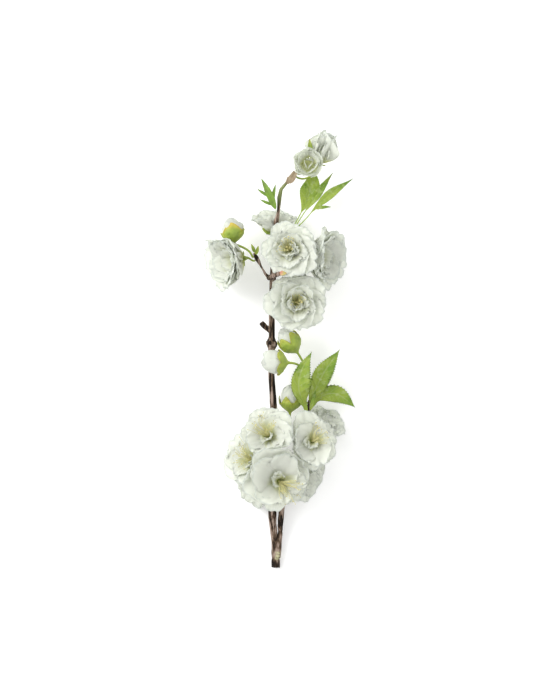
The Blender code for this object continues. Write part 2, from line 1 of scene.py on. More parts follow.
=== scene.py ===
"""Looks of a cut sprig of double white cherry blossom.

Petals and leaves are of fabric, and stamens, cups and bark are moulded. Every piece is built round the packed
solids. Shapes are worked out in millimetres, and meshes are in metres.
"""

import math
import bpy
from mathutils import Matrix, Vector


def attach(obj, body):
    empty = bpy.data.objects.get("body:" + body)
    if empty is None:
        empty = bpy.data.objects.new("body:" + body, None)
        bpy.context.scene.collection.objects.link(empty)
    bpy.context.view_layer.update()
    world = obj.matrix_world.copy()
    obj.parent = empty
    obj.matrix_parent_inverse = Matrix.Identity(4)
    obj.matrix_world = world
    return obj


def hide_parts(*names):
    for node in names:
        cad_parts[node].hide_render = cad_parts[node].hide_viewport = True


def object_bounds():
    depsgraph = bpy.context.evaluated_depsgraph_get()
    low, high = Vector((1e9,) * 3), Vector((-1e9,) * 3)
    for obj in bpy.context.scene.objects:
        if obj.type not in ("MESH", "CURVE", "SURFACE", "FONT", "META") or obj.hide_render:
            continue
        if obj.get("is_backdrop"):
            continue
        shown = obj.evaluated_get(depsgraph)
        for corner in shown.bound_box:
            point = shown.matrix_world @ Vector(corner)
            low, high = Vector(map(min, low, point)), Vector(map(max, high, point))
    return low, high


bl_info = {
    "name": "Cherry Blossom Sprig",
    "version": (1, 0, 0),
    "blender": (4, 5, 0),
    "location": "3D View > Sidebar > Sprig",
    "description": "Petals, stamens, cups, leaves and bark of a double white cherry blossom sprig",
    "category": "Add Mesh",
}

import bpy
import numpy as np
from bpy.props import FloatProperty, FloatVectorProperty, IntProperty, PointerProperty
from mathutils import Matrix, Vector, noise

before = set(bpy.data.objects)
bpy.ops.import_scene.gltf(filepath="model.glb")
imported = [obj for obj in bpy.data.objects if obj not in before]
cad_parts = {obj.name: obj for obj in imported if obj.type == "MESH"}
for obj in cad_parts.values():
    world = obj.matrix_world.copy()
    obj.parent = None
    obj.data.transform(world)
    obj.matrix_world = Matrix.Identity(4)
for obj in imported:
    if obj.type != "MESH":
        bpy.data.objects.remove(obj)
CAD_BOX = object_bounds()

MM = 0.001
TINY = 1e-9
FULL_TURN = 2 * math.pi
UPWARDS = np.array((0.0, 0.0, 1.0))
BODY = "root"


# ---------------------------------------------------------------- vectors and lines


def unit(v):
    v = np.asarray(v, float)
    return v / np.linalg.norm(v)


def smoothstep(low, high, x):
    t = np.clip((x - low) / (high - low), 0.0, 1.0)
    return t * t * (3 - 2 * t)


def placed(base, *moves):
    """Points moved from a base along each way, by that way's own amounts."""
    for amounts, way in moves:
        base = base + amounts[..., None] * way
    return base


def spaced(rows, columns, start=0.0):
    """How far along and across a sheet each point of its grid is: 0 to 1 along it, and -1 to 1 across."""
    return np.linspace(start, 1, rows)[:, None], np.linspace(-1, 1, columns)[None, :]


def along(line, shares):
    """Rows at these shares of a line's length, on a smooth curve through its own rows."""
    chord = np.linalg.norm(np.diff(line[:, :3], axis=0), axis=1)
    travel = np.concatenate([[0], np.cumsum(chord)])
    slope = np.gradient(line, travel, axis=0)
    at = shares * travel[-1]
    k = np.clip(np.searchsorted(travel, at, side="right") - 1, 0, len(chord) - 1)
    size = chord[k][:, None]
    t = ((at - travel[k]) / chord[k])[:, None]
    ends = (2 * t**3 - 3 * t**2 + 1) * line[k] + (3 * t**2 - 2 * t**3) * line[k + 1]
    return ends + size * ((t**3 - 2 * t**2 + t) * slope[k] + (t**3 - t**2) * slope[k + 1])


class Facing:
    """A piece's own axes: where it starts, the way it faces, and two ways across it."""

    def __init__(self, base, axis):
        self.base = base
        self.axis = unit(axis)
        self.right = unit(np.cross(self.axis, (0, 0, 1) if abs(self.axis[2]) < 0.9 else (0, 1, 0)))
        self.up = np.cross(self.axis, self.right)

    def out(self, turn):
        """The way outwards at an angle round the axis."""
        return math.cos(turn) * self.right + math.sin(turn) * self.up

    def matrix(self):
        """From a piece made at the origin in millimetres, facing +Z, to its place in metres."""
        place = Matrix.Identity(4)
        for column, v in enumerate((self.right, self.up, self.axis, self.base)):
            for row in range(3):
                place[row][column] = v[row] * MM
        return place


# ---------------------------------------------------------------- reading the packed solids


def read(items, key, width=3, kind=np.float32):
    """One property of each of a mesh's items, with a row for each."""
    values = np.empty(width * len(items), kind)
    items.foreach_get(key, values)
    return values.reshape(-1, width)


def corners_of(mesh):
    """The point at each corner of a mesh's faces."""
    return read(mesh.loops, "vertex_index", 1, np.int32).ravel()


def node_mesh(name):
    """A packed node's points, in millimetres and each once, and its triangles."""
    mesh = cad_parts[name].data
    places = np.round(read(mesh.vertices, "co").astype(float) / MM, 3)
    points, index = np.unique(places, axis=0, return_inverse=True)
    return points, index.reshape(-1)[corners_of(mesh)].reshape(-1, 3)


def nearest_of(points, to):
    """Whichever of these points lies nearest to any of the others."""
    gaps = np.linalg.norm(points[:, None] - to[None], axis=2).min(axis=1)
    return points[np.argmin(gaps)]


def two_ends(name, cup):
    """The two points of a node where most triangles meet, the one nearest to its cup first.

    They are the middles of a sheet's faces, or a bud's ends.
    """
    points, triangles = node_mesh(name)
    meeting = np.bincount(triangles.ravel(), minlength=len(points))
    ends = points[np.argsort(-meeting, kind="stable")[:2]]
    low = nearest_of(ends, node_mesh(cup)[0])
    return low, ends[0] if np.allclose(low, ends[1]) else ends[1]


def rings(name, sides, foot):
    """The rings of points along a drawn-out node, in order from the end nearest to its foot."""
    points, triangles = node_mesh(name)
    beside = [set() for _ in points]
    for a, b, c in triangles:
        beside[a] |= {b, c}
        beside[b] |= {c, a}
        beside[c] |= {a, b}
    near = np.argsort(np.linalg.norm(points - foot, axis=1), kind="stable")[:sides]
    layer, seen, found = set(near.tolist()), set(near.tolist()), []
    while layer:
        found.append(points[sorted(layer)])
        layer = set().union(*(beside[i] for i in layer)) - seen
        seen |= layer
    return found


STEM_NODES = ("main_stem", "side_branch", "left_spur")
STEM_POINTS = {name: node_mesh(name)[0] for name in STEM_NODES}
ALL_STEMS = np.vstack(list(STEM_POINTS.values()))


def stem_end(name, pick):
    """A stem's lowest point up the sprig, with np.argmin, or its highest, with np.argmax."""
    points = STEM_POINTS[name]
    return points[pick(points[:, 1])]


# ---------------------------------------------------------------- making pieces


def linked(name, data):
    """A new object in the scene, holding this data."""
    made = bpy.data.objects.new(name, data)
    bpy.context.scene.collection.objects.link(made)
    return made


def mesh_object(name, points, faces, materials, uv=None, kinds=None):
    """A smooth mesh object at the origin, from points in millimetres. uv has a row for each point."""
    mesh = bpy.data.meshes.new(name)
    mesh.from_pydata((points * MM).tolist(), [], [tuple(map(int, f)) for f in faces])
    for material in materials:
        mesh.materials.append(material)
    if kinds is not None:
        mesh.polygons.foreach_set("material_index", np.asarray(kinds, np.int32))
    if uv is not None:
        layer = mesh.uv_layers.new(name="UVMap")
        layer.data.foreach_set("uv", uv.astype(np.float32)[corners_of(mesh)].ravel())
    mesh.shade_smooth()
    mesh.update()
    return linked(name, mesh)


def moved(mesh, points):
    """Puts a mesh's points at these places, in millimetres."""
    mesh.vertices.foreach_set("co", (points * MM).astype(np.float32).ravel())
    mesh.update()


def finished(piece, slot, *nodes):
    """Rides the piece on the sprig's body, standing for these packed nodes."""
    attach(piece, BODY)
    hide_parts(*nodes)


def baked(holder, name):
    """A holder's evaluated mesh as a plain object, with the holder and its modifiers removed."""
    graph = bpy.context.evaluated_depsgraph_get()
    mesh = bpy.data.meshes.new_from_object(holder.evaluated_get(graph), depsgraph=graph)
    bpy.data.objects.remove(holder)
    mesh.name = name
    return linked(name, mesh)


def joined_into(made, other):
    """Adds another object's mesh to one and removes the other."""
    with bpy.context.temp_override(active_object=made, selected_editable_objects=[made, other]):
        bpy.ops.object.join()
    return made


class Shapes:
    """Sheets and tubes gathered into one mesh. Each has a kind, which is the number of its material."""

    def __init__(self):
        self.points, self.faces, self.uv, self.kinds = [], [], [], []
        self.count = 0

    def add(self, points, faces, uv, kind):
        self.points.append(points)
        self.uv.append(uv)
        self.faces += [tuple(i + self.count for i in f) for f in faces]
        self.kinds += [kind] * len(faces)
        self.count += len(points)

    def sheet(self, grid, thickness, kind=0, shade=0.0, across=None):
        """A closed sheet round a grid of points, with u across it and v along it in its UV map.

        The shade number moves the map sideways, so that no two sheets have the same veins.
        """
        rows, columns = grid.shape[:2]
        half = grid_normals(grid) * (thickness / 2)
        points = np.concatenate([(grid + half).reshape(-1, 3), (grid - half).reshape(-1, 3)])
        places = np.linspace(0, 1, columns) if across is None else across
        v, u = np.meshgrid(np.linspace(0, 1, rows), places, indexing="ij")
        uv = np.stack([u + shade, v], axis=2).reshape(-1, 2)
        index = np.arange(rows * columns).reshape(rows, columns)
        a, b = index[:-1, :-1].ravel(), index[:-1, 1:].ravel()
        c, d = index[1:, 1:].ravel(), index[1:, :-1].ravel()
        under = rows * columns
        faces = list(zip(a, b, c, d)) + list(zip(a + under, d + under, c + under, b + under))
        rim = [*index[0], *index[1:, -1], *index[-1, -2::-1], *index[-2:0:-1, 0]]
        for i, j in zip(rim, rim[1:] + rim[:1]):
            faces.append((j, i, i + under, j + under))
        self.add(points, faces, np.concatenate([uv, uv]), kind)

    def tube(self, line, radii, sides, kind=0):
        """A closed round tube along a line, with pinched ends. The line never turns back on itself."""
        tangent = np.gradient(line, axis=0)
        side = unit(np.cross(tangent[0], (0.31, 0.17, 0.93)))
        points, uv = [line[0]], [(0.5, 0.0)]
        turn = FULL_TURN * np.arange(sides) / sides
        for k, (p, t, r) in enumerate(zip(line, tangent, radii)):
            t = unit(t)
            side = unit(side - t * (side @ t))
            wheel = np.cos(turn)[:, None] * side + np.sin(turn)[:, None] * np.cross(t, side)
            points += list(p + r * wheel)
            uv += [(j / sides, k / (len(line) - 1)) for j in range(sides)]
        points.append(line[-1])
        uv.append((0.5, 1.0))
        faces, last = [], len(points) - 1
        for j in range(sides):
            i = (j + 1) % sides
            faces.append((0, 1 + i, 1 + j))
            for k in range(len(line) - 1):
                a, b = 1 + k * sides, 1 + (k + 1) * sides
                faces.append((a + j, a + i, b + i, b + j))
            end = 1 + (len(line) - 1) * sides
            faces.append((last, end + j, end + i))
        self.add(np.array(points), faces, np.array(uv), kind)

    def made(self, name, *materials):
        points, uv = np.concatenate(self.points), np.concatenate(self.uv)
        return mesh_object(name, points, self.faces, materials, uv, self.kinds)


def grid_normals(grid):
    normal = np.cross(np.gradient(grid, axis=1), np.gradient(grid, axis=0))
    size = np.linalg.norm(normal, axis=2, keepdims=True)
    return normal / np.where(size > TINY, size, 1)


# ---------------------------------------------------------------- node trees


def sign(operation, reflected=False):
    """The method of Wire behind one arithmetic sign, or behind its reflected form."""

    def method(self, other):
        return self.maths(operation, *((other, self) if reflected else (self, other)))

    return method


class Wire:
    """A node's output that takes part in plain arithmetic."""

    def __init__(self, tree, socket):
        self.tree, self.socket = tree, socket

    def maths(self, operation, *values):
        return self.tree.node("ShaderNodeMath", dict(enumerate(values)), operation=operation)

    __add__, __radd__ = sign("ADD"), sign("ADD", reflected=True)
    __sub__, __rsub__ = sign("SUBTRACT"), sign("SUBTRACT", reflected=True)
    __mul__, __rmul__ = sign("MULTIPLY"), sign("MULTIPLY", reflected=True)
    __truediv__, __rtruediv__ = sign("DIVIDE"), sign("DIVIDE", reflected=True)

    def distance(self):
        return self.maths("ABSOLUTE", self)

    def wave(self):
        return self.maths("SINE", self)

    def root(self):
        return self.maths("SQRT", self)

    def clear_of(self, low, high):
        """0 below low, 1 above high, and smooth between."""
        values = {"Value": self, "From Min": low, "From Max": high}
        return self.tree.node("ShaderNodeMapRange", values, interpolation_type="SMOOTHSTEP")


class Wiring:
    """A node tree being wired."""

    def __init__(self, tree):
        self.nodes, self.links = tree.nodes, tree.links

    def node(self, kind, values=None, output=0, **settings):
        """Adds a node, with Wires or constants for its inputs, and gives back one of its outputs."""
        made = self.nodes.new(kind)
        for key, value in settings.items():
            setattr(made, key, value)
        for key, value in (values or {}).items():
            if isinstance(value, Wire):
                self.links.new(value.socket, made.inputs[key])
            else:
                made.inputs[key].default_value = value
        return Wire(self, made.outputs[output])


def rgba(colour):
    return colour if isinstance(colour, Wire) else (*colour, 1.0)


class Finish(Wiring):
    """A material being wired."""

    def __init__(self, name):
        self.material = bpy.data.materials.new(name)
        self.material.use_nodes = True
        super().__init__(self.material.node_tree)
        self.nodes.clear()

    def noise(self, vector, scale, detail=3.0, roughness=0.55, stretch=(1, 1, 1)):
        stretched = self.node("ShaderNodeMapping", {"Vector": vector, "Scale": stretch})
        values = {"Vector": stretched, "Scale": scale, "Detail": detail, "Roughness": roughness}
        return self.node("ShaderNodeTexNoise", values, noise_dimensions="3D")

    def place(self):
        """Where a point is on the sprig, in metres."""
        return self.node("ShaderNodeTexCoord", output="Object")

    def uv(self):
        return self.node("ShaderNodeTexCoord", output="UV")

    def split(self, vector):
        """How far across and how far along a vector goes."""
        return [self.node("ShaderNodeSeparateXYZ", {"Vector": vector}, output=k) for k in "XY"]

    def mix(self, factor, a, b):
        """From colour a to colour b."""
        return self.node("ShaderNodeMix", {0: factor, 6: rgba(a), 7: rgba(b)}, output=2, data_type="RGBA")

    def ramp(self, factor, stops):
        """A colour for each factor, from (position, colour) stops."""
        made = self.node("ShaderNodeValToRGB", {"Fac": factor})
        elements = made.socket.node.color_ramp.elements
        elements.remove(elements[-1])
        elements[0].position = stops[0][0]
        elements[0].color = rgba(stops[0][1])
        for position, colour in stops[1:]:
            elements.new(position).color = rgba(colour)
        return made

    def bump(self, height, strength, distance):
        return self.node("ShaderNodeBump", {"Height": height, "Strength": strength, "Distance": distance})

    def surface(self, colour, roughness, specular, normal, **more):
        """An opaque skin. More inputs are named with underscores for spaces."""
        values = {"Base Color": rgba(colour), "Roughness": roughness, "Normal": normal}
        values |= {key.replace("_", " "): value for key, value in more.items()}
        return self.node("ShaderNodeBsdfPrincipled", {"Specular IOR Level": specular, **values})

    def fabric(self, skin, colour, normal, translucency):
        """The skin with a share of light coming through it."""
        through = self.node("ShaderNodeBsdfTranslucent", {"Color": colour, "Normal": normal})
        return self.done(self.node("ShaderNodeMixShader", {0: translucency, 1: skin, 2: through}))

    def done(self, shader):
        out = self.nodes.new("ShaderNodeOutputMaterial")
        self.links.new(shader.socket, out.inputs["Surface"])
        return self.material


# ---------------------------------------------------------------- finishes

VEIN_PAIRS = 8.0  # side veins of a leaf, which its quilting follows
VEIN_SLANT = 0.17  # how much further along a vein is at the edge, as a share of the leaf

# Bands of the bark, in metres up the sprig or, for the worn side, across it. Each fades in from its first
# number to its second.
DARK_FOOT = (-0.1960, -0.1925)
WORN_FROM = (-0.1935, -0.1905)
WORN_TO = (-0.1865, -0.1835)
WORN_SIDE = (-0.0075, -0.0045)
GREEN_TWIG = (0.126, 0.142)
PAPERY_TIP = (0.149, 0.154)


def petal_finish(settings, name, claw_reach):
    """Thin off-white fabric: a green-yellow claw, soft veins out to the rim, painted grey shade along the
    rim, and light coming through.
    """
    f = Finish(name)
    uv = f.uv()
    _, foot = f.split(uv)
    cloud = f.noise(f.place(), 90.0, detail=4.0)
    near_claw = 1 - foot.clear_of(0.02, claw_reach)
    white = f.mix(cloud, settings.shade_colour, settings.colour)
    # Painted shade: each petal's rim is greyed in place of the shade that outlines its edge.
    white = f.mix(foot.clear_of(0.90, 1.0) * 0.45, white, settings.painted_rim_shade)
    tinted = f.mix(near_claw * (0.45 + 0.65 * cloud), white, settings.claw_colour)
    veins = f.noise(uv, 1.0, 3.0, 0.6, stretch=(26.0, 1.6, 1.0))
    weave = f.noise(f.place(), 1900.0, detail=2.0)
    creases = f.noise(uv, 1.0, 2.0, 0.5, stretch=(7.0, 2.2, 1.0))
    normal = f.bump(veins * 0.5 + weave * 0.16 + creases * 0.6, strength=0.55, distance=0.0007)
    skin = f.surface(tinted, roughness=0.78, specular=0.25, normal=normal, Sheen_Weight=0.15)
    return f.fabric(skin, tinted, normal, settings.translucency)


def moulded_finish(name, colours, scale, roughness, spots=None, blush=0.0):
    """Moulded plastic with clouded colour and a grainy skin. Spots are patches of another colour."""
    f = Finish(name)
    place = f.place()
    cloud = f.noise(place, scale, 4.0)
    colour = f.ramp(cloud, [(0.32, colours[0]), (0.68, colours[1])])
    if spots:
        patch = f.noise(place, scale * 0.4, 2.0).clear_of(0.60, 0.76) * 0.7
        colour = f.mix(patch, colour, spots)
        _, share = f.split(f.uv())
        colour = f.mix(share.clear_of(0.60, 1.0) * blush, colour, spots)
    grain = f.noise(place, 700.0, detail=3.0)
    normal = f.bump(grain + 0.8 * cloud, strength=0.6, distance=0.0004)
    return f.done(f.surface(colour, roughness, specular=0.4, normal=normal))


def cup_finish(settings, name, blush):
    """Moulded green with warm patches, and a warm blush towards the tips of the sepals."""
    colours = (settings.deep_colour, settings.colour)
    return moulded_finish(name, colours, 130.0, roughness=0.5, spots=settings.warm_colour, blush=blush)


def leaf_finish(settings):
    """Leaf fabric: a pale midrib and side veins printed over green that darkens to the tip and the edges."""
    f = Finish("leaf_fabric")
    across, share = f.split(f.uv())
    aside = (across - 0.5).distance() * 2
    cloud = f.noise(f.place(), 75.0, detail=4.0)
    patch = cloud.clear_of(0.38, 0.62)
    greener = share.clear_of(0.0, 0.8) * (0.25 + 0.8 * patch)
    body = f.mix(greener, settings.base_colour, settings.colour)
    dark = share.clear_of(0.86, 1.0) * 0.75 + aside.clear_of(0.9, 1.0) * 0.35
    body = f.mix(dark, body, settings.tip_colour)
    slant = ((share - aside * VEIN_SLANT) * 2 * math.pi * VEIN_PAIRS).wave()
    vein = slant.clear_of(0.90, 1.0) * (1 - aside.clear_of(0.75, 1.0))
    rib = 1 - aside.clear_of(0.02, 0.12)
    streak = f.noise(f.place(), 190.0, detail=2.0).clear_of(0.54, 0.66)
    printed = f.mix(rib * 0.32 + vein * 0.22 + streak * 0.35, body, settings.vein_colour)
    weave = f.noise(f.place(), 1500.0, detail=2.0)
    wrinkles = f.noise(f.place(), 260.0, detail=3.0)
    height = rib * 0.4 + vein * 0.2 + weave * 0.12 + cloud * 0.9 + wrinkles * 0.9
    normal = f.bump(height, strength=0.6, distance=0.0009)
    skin = f.surface(printed, roughness=0.55, specular=0.35, normal=normal)
    return f.fabric(skin, printed, normal, translucency=0.25)


def bark_finish(settings):
    """Moulded bark: dark furrows and pale streaks along the stem, green and then papery at its thin end."""
    f = Finish("moulded_bark")
    place = f.place()
    across, up_sprig = f.split(place)
    streaks = f.noise(place, 420.0, 4.0, 0.6, stretch=(1.0, 0.09, 1.0))
    patches = f.noise(place, 150.0, 3.0, 0.6, stretch=(1.0, 0.35, 1.0))
    mixed = (streaks * 0.65 + patches * 0.4 - 0.53) * 1.9 + 0.52
    bark = f.ramp(mixed, [
        (0.44, settings.furrow_colour),
        (0.51, settings.colour),
        (0.57, settings.streak_colour),
        (0.63, settings.pale_colour),
    ])
    worn = up_sprig.clear_of(*WORN_FROM) * (1 - up_sprig.clear_of(*WORN_TO))
    flaked = f.noise(place, 500.0, detail=2.0).clear_of(0.42, 0.56) * across.clear_of(*WORN_SIDE)
    bark = f.mix(worn * flaked * 0.85, bark, settings.worn_colour)
    bark = f.mix((1 - up_sprig.clear_of(*DARK_FOOT)) * 0.7, bark, settings.furrow_colour)
    green = up_sprig.clear_of(*GREEN_TWIG) * (0.35 + 0.65 * patches)
    bark = f.mix(green, bark, settings.twig_colour)
    papery = f.mix(streaks.clear_of(0.45, 0.6) * 0.7, settings.bract_colour, settings.colour)
    bark = f.mix(up_sprig.clear_of(*PAPERY_TIP) * 0.9, bark, papery)
    grain = f.noise(place, 900.0, detail=3.0)
    normal = f.bump(streaks * 0.8 + grain * 0.3, strength=0.8, distance=0.0008)
    return f.done(f.surface(bark, roughness=0.62, specular=0.12, normal=normal))


# ---------------------------------------------------------------- petals

# The random draws of a petal depend on its numbers of rows and columns.
PETAL_ROWS = 20
PETAL_COLUMNS = 27
PETAL_MM = 0.22  # thickness
CALYX_GAP = 0.3  # what the packed whorl keeps above its calyx
ARC_STEPS = 60
HEART_SHARE = 0.35  # how far up a blossom or a bud its middle is
# How much of a petal's clearance the surface, a stem and a neighbour ask for.
SURFACE_CLEAR, STEM_CLEAR, NEIGHBOUR_CLEAR = 1.3, 0.6, 0.5
BUD_GIRTH = 0.42  # from a bud's middle to its skin, for its length
OVERLAP_LEAN = 0.45  # how far the plane between two blossoms leans over the lower one
SOFT_MM = 2.0  # how gently a petal is turned at a plane
MOST_PUSH_MM = 14.0
RIDE_UP = 0.6  # how much of what a plane pushes back goes up it
VEIN_SHIFTS = 40  # how far apart the veins of two petals may be drawn from
HUB_MM = 1.6  # how far from the axis a petal starts
# Rounds of petals: how many, their length for the blossom's, their half width for their length, how much
# steeper they are at the foot and at the rim, the turn and height that they start at, their clearance, ruffle
# and cupping.
FLAT_ROUNDS = (
    (5, 1.03, 0.54, 0, 0, 0.0, 0.7, 0.3, 1.25, 0.010),
    (5, 0.94, 0.52, 8, 6, 0.5, 1.2, 1.0, 1.35, 0.010),
)
THIRD_ROUND = (4, 0.92, 0.54, 6, 12, 0.3, 1.3, 1.1, 1.2, 0.010)
CUPPED_ROUND = (5, 0.74, 0.52, 0, 0, 0.25, 1.8, 1.6, 1.15, 0.018)
FILLING_ROUND = (6, 0.86, 0.50, -4, 8, 0.7, 1.5, 1.2, 1.3, 0.015)
MIDDLE_ROUND = (4, 0.56, 0.50, 12, 24, 0.1, 2.4, 2.4, 1.0, 0.03)
HALF_OPEN_ROUNDS = (
    (5, 1.0, 0.54, 0, 0, 0.0, 0.6, 0.3, 0.5, 0.030),
    (4, 0.86, 0.52, 6, 12, 0.4, 1.1, 0.8, 0.6, 0.034),
)
# The round that closes over a half-open blossom's middle, where its petals are upright or still spread out.
UPRIGHT_MIDDLE = ((3, 0.74, 0.54, 0, 0, 0.1, 1.4, 1.2, 0.5, 0.036), (88.0, 110.0))
SPREAD_MIDDLE = ((3, 0.42, 0.54, 0, 0, 0.1, 1.4, 1.2, 0.5, 0.036), (64.0, 112.0))
# Folded petals: the turn from straight away from the stamens, the length for the blossom's, the fold, and the
# slopes at the foot and at the rim.
FOLDED_PETALS = ((-0.75, 0.50, 14, (68, 40)), (0.20, 0.44, 38, (72, 49)), (0.95, 0.40, 24, (76, 58)))
# How much steeper than the packed blossom opens a layer's petals are at the foot and at the rim, and how much
# more upright the rims of a full blossom are.
OUTER_SLOPES = (14, -26)
INNER_SLOPES = (18, -16)
FULL_RISE = 9
# How far the petals on the stamens' side are laid back, at the foot and at the rim, in degrees.
LAID_BACK = (26, 20)


class Blossom:
    """A blossom read from its packed nodes: its foot, the way it faces, its length and how far it opens."""

    def __init__(self, name, nodes, sheet="petals"):
        self.name = name
        low, high = two_ends(f"{nodes}_{sheet}", nodes + "_calyx")
        axis = unit(high - low)
        self.facing = Facing(low - CALYX_GAP * axis, axis)
        points = node_mesh(f"{nodes}_{sheet}")[0] - self.facing.base
        far = np.linalg.norm(points, axis=1)
        self.length = far.max()
        rim = points[far > 0.8 * self.length]
        rise = rim @ axis
        self.opening = float(np.degrees(np.median(np.arctan2(rise, np.sqrt((rim**2).sum(axis=1) - rise**2)))))
        self.heart = self.facing.base + HEART_SHARE * self.length * axis
        self.limits = []
        self.spread, *pull = SPREAD.get(name, (1.0, 0.0, 0.0))
        self.pull = np.array((*pull, 0.0))


def double_blossom(name):
    return Blossom(name, f"blossom_{name}", "outer_petals")


def keep_apart(blossoms, buds):
    """Bounds each blossom's own space with planes, against neighbours, stems, buds and the surface.

    Each plane is a point on it, the way out through it, and how much of a petal's clearance it asks for. The
    plane between two blossoms leans, so that the one listed first lies over the other.
    """
    for i, one in enumerate(blossoms):
        one.limits.append((np.zeros(3), -UPWARDS, SURFACE_CLEAR))
        nearest = ALL_STEMS[np.argmin(np.linalg.norm(ALL_STEMS - one.heart, axis=1))]
        if np.linalg.norm(nearest - one.heart) < 1.2 * one.length:
            one.limits.append((nearest, unit(nearest - one.heart), STEM_CLEAR))
        for j, other in enumerate(blossoms):
            span = other.heart - one.heart
            apart = np.linalg.norm(span)
            if other is not one and apart < 1.1 * (one.length + other.length):
                share = one.length / (one.length + other.length)
                lean = (0, 0, -OVERLAP_LEAN if i < j else OVERLAP_LEAN)
                one.limits.append((one.heart + share * span, unit(span / apart + lean), NEIGHBOUR_CLEAR))
        for bud in buds:
            middle = bud.facing.base + HEART_SHARE * bud.length * bud.facing.axis
            span = middle - one.heart
            apart = np.linalg.norm(span)
            if apart < one.length + 0.5 * bud.length:
                skin = middle - BUD_GIRTH * bud.length * span / apart
                one.limits.append((skin, span / apart, NEIGHBOUR_CLEAR))


def confined(grid, blossom, clear):
    """Points eased back inside the blossom's own space, riding up along whatever stops them."""
    flat = grid.reshape(-1, 3).copy()
    soft = SOFT_MM
    for turn in range(4):
        for at, outward, keep in blossom.limits:
            room = (at - flat) @ outward - clear * keep
            eased = (room + soft) ** 2 / (4 * soft)
            kept = np.where(room > soft, room, np.where(room < -soft, 0.0, eased))
            pushed = np.minimum(kept - room, MOST_PUSH_MM)
            rise = blossom.facing.axis - outward * (blossom.facing.axis @ outward)
            size = np.linalg.norm(rise)
            rise = RIDE_UP * rise / size if turn == 0 and size > 0.2 else 0 * rise
            flat += pushed[:, None] * (rise - outward)
    return flat.reshape(grid.shape)


class Petal:
    """One petal's own dimensions, in millimetres and degrees."""

    def __init__(self, length, half_width, slopes, turn, floor, ruffle, cup, hub=HUB_MM, twist=5.0, fold=0.0):
        self.length, self.half_width, self.slopes = length, half_width, slopes
        self.turn, self.floor, self.hub = turn, floor, hub
        self.cup, self.twist, self.ruffle, self.fold = cup, twist, ruffle, fold

    def outline(self, u, v, rng):
        """How far along and across the petal each grid point lies."""
        notch = np.exp(-((u - rng.uniform(-0.35, 0.35)) / 0.12) ** 2)
        tip = 1 - 0.34 * np.abs(u) ** 2.4 - rng.uniform(0.02, 0.10) * notch
        for size, least, most in ((0.022, 6, 10), (0.010, 19, 27)):
            tip = tip + size * np.sin(u * rng.uniform(least, most) + rng.uniform(0, 6))
        tip = tip + rng.normal(0, 0.006, u.shape)
        wide = 0.16 + 0.84 * np.sin(0.5 * math.pi * np.clip(v / 0.70, 0, 1)) ** 0.9
        wide = wide * (1 - 0.18 * smoothstep(0.72, 1.0, v))
        frayed = 1 + 0.012 * np.sin(v * rng.uniform(20, 28))
        frayed = frayed + rng.normal(0, 0.006, v.shape) * smoothstep(0.2, 0.6, v)
        return self.length * v * tip, self.half_width * u * wide * frayed

    def ruffles(self, u, v, rng):
        """How far each grid point is lifted off the petal's plain surface."""
        rim = smoothstep(0.45, 1.0, v)
        side = np.abs(u) ** 3 * smoothstep(0.25, 0.8, v)
        a, b, c, d = rng.uniform(0, FULL_TURN, 4)
        waves = np.sin(rng.uniform(2.2, 3.8) * u + a) + 0.42 * np.sin(rng.uniform(8, 12) * u + b)
        edges = np.sin(rng.uniform(4, 7) * v + c + 2 * np.sign(u)) * side
        creases = 0.20 * np.sin(rng.uniform(10, 15) * u + d) * smoothstep(0.1, 0.5, v)
        frill = 0.45 * np.sin(rng.uniform(15, 21) * u + 2 * b) * smoothstep(0.82, 1.0, v)
        return self.ruffle * (rim**1.6 * waves * 0.9 + 1.0 * edges + creases + frill)

    def surface(self, blossom, clear, rng):
        """The petal's middle surface: rows from its claw to its rim, columns from side to side."""
        v, u = spaced(PETAL_ROWS, PETAL_COLUMNS)
        ahead, aside = self.outline(u, v, rng)
        lift = self.ruffles(u, v, rng)
        share = np.linspace(0, 1, ARC_STEPS)
        slope = np.radians(self.slopes[0] + (self.slopes[1] - self.slopes[0]) * share)
        step = self.length / (ARC_STEPS - 1)
        radius = np.concatenate([[0], np.cumsum(np.cos(slope[:-1]) * step)])
        height = np.concatenate([[0], np.cumsum(np.sin(slope[:-1]) * step)])
        on = ahead / self.length
        r, h, s = (np.interp(on, share, values) for values in (radius, height, slope))
        facing = blossom.facing
        out, axis = facing.out(self.turn), facing.axis
        side = np.cross(axis, out)
        normal = placed(-np.sin(s)[..., None] * out, (np.cos(s), axis))
        fold = math.radians(self.fold)
        up = self.cup * aside**2 + math.tan(math.radians(self.twist)) * aside
        up = up + math.sin(fold) * np.abs(aside)
        moves = (self.hub + r, out), (self.floor + h, axis), (aside * math.cos(fold), side), (up, normal)
        grid = confined(placed(facing.base, *moves), blossom, clear + rng.uniform(0, 1.2))
        return placed(grid, (lift, grid_normals(grid)))


def add_petal(shapes, petal, blossom, clear, rng):
    shapes.sheet(petal.surface(blossom, clear, rng), PETAL_MM, shade=rng.uniform(0, VEIN_SHIFTS))


def whorl(shapes, blossom, row, slopes, rng, lean=None, scale=1.0, hub=HUB_MM):
    """A round of overlapping petals, laid back on the side where the stamens lean."""
    count, share, width, foot, rim, turn, floor, clear, ruffle, cup = row
    foot, rim = slopes[0] + foot, slopes[1] + rim
    for k in range(count):
        angle = FULL_TURN * (k + turn) / count + rng.uniform(-0.12, 0.12)
        out = blossom.facing.out(angle)
        length = blossom.length * (scale * share) * rng.uniform(0.93, 1.07)
        length = length * blossom.spread * (1 + out @ blossom.pull)
        sway = rng.uniform(-6, 6)
        back = 0.0 if lean is None else max(0.0, float(out @ lean) + 0.2)
        half_width = length * width * rng.uniform(0.93, 1.1)
        swayed = (
            foot + sway - LAID_BACK[0] * back,
            rim + 1.6 * sway - LAID_BACK[1] * back + rng.uniform(-6, 6),
        )
        petal = Petal(length, half_width, swayed, angle, floor + 0.08 * k, ruffle, cup, hub)
        add_petal(shapes, petal, blossom, clear, rng)


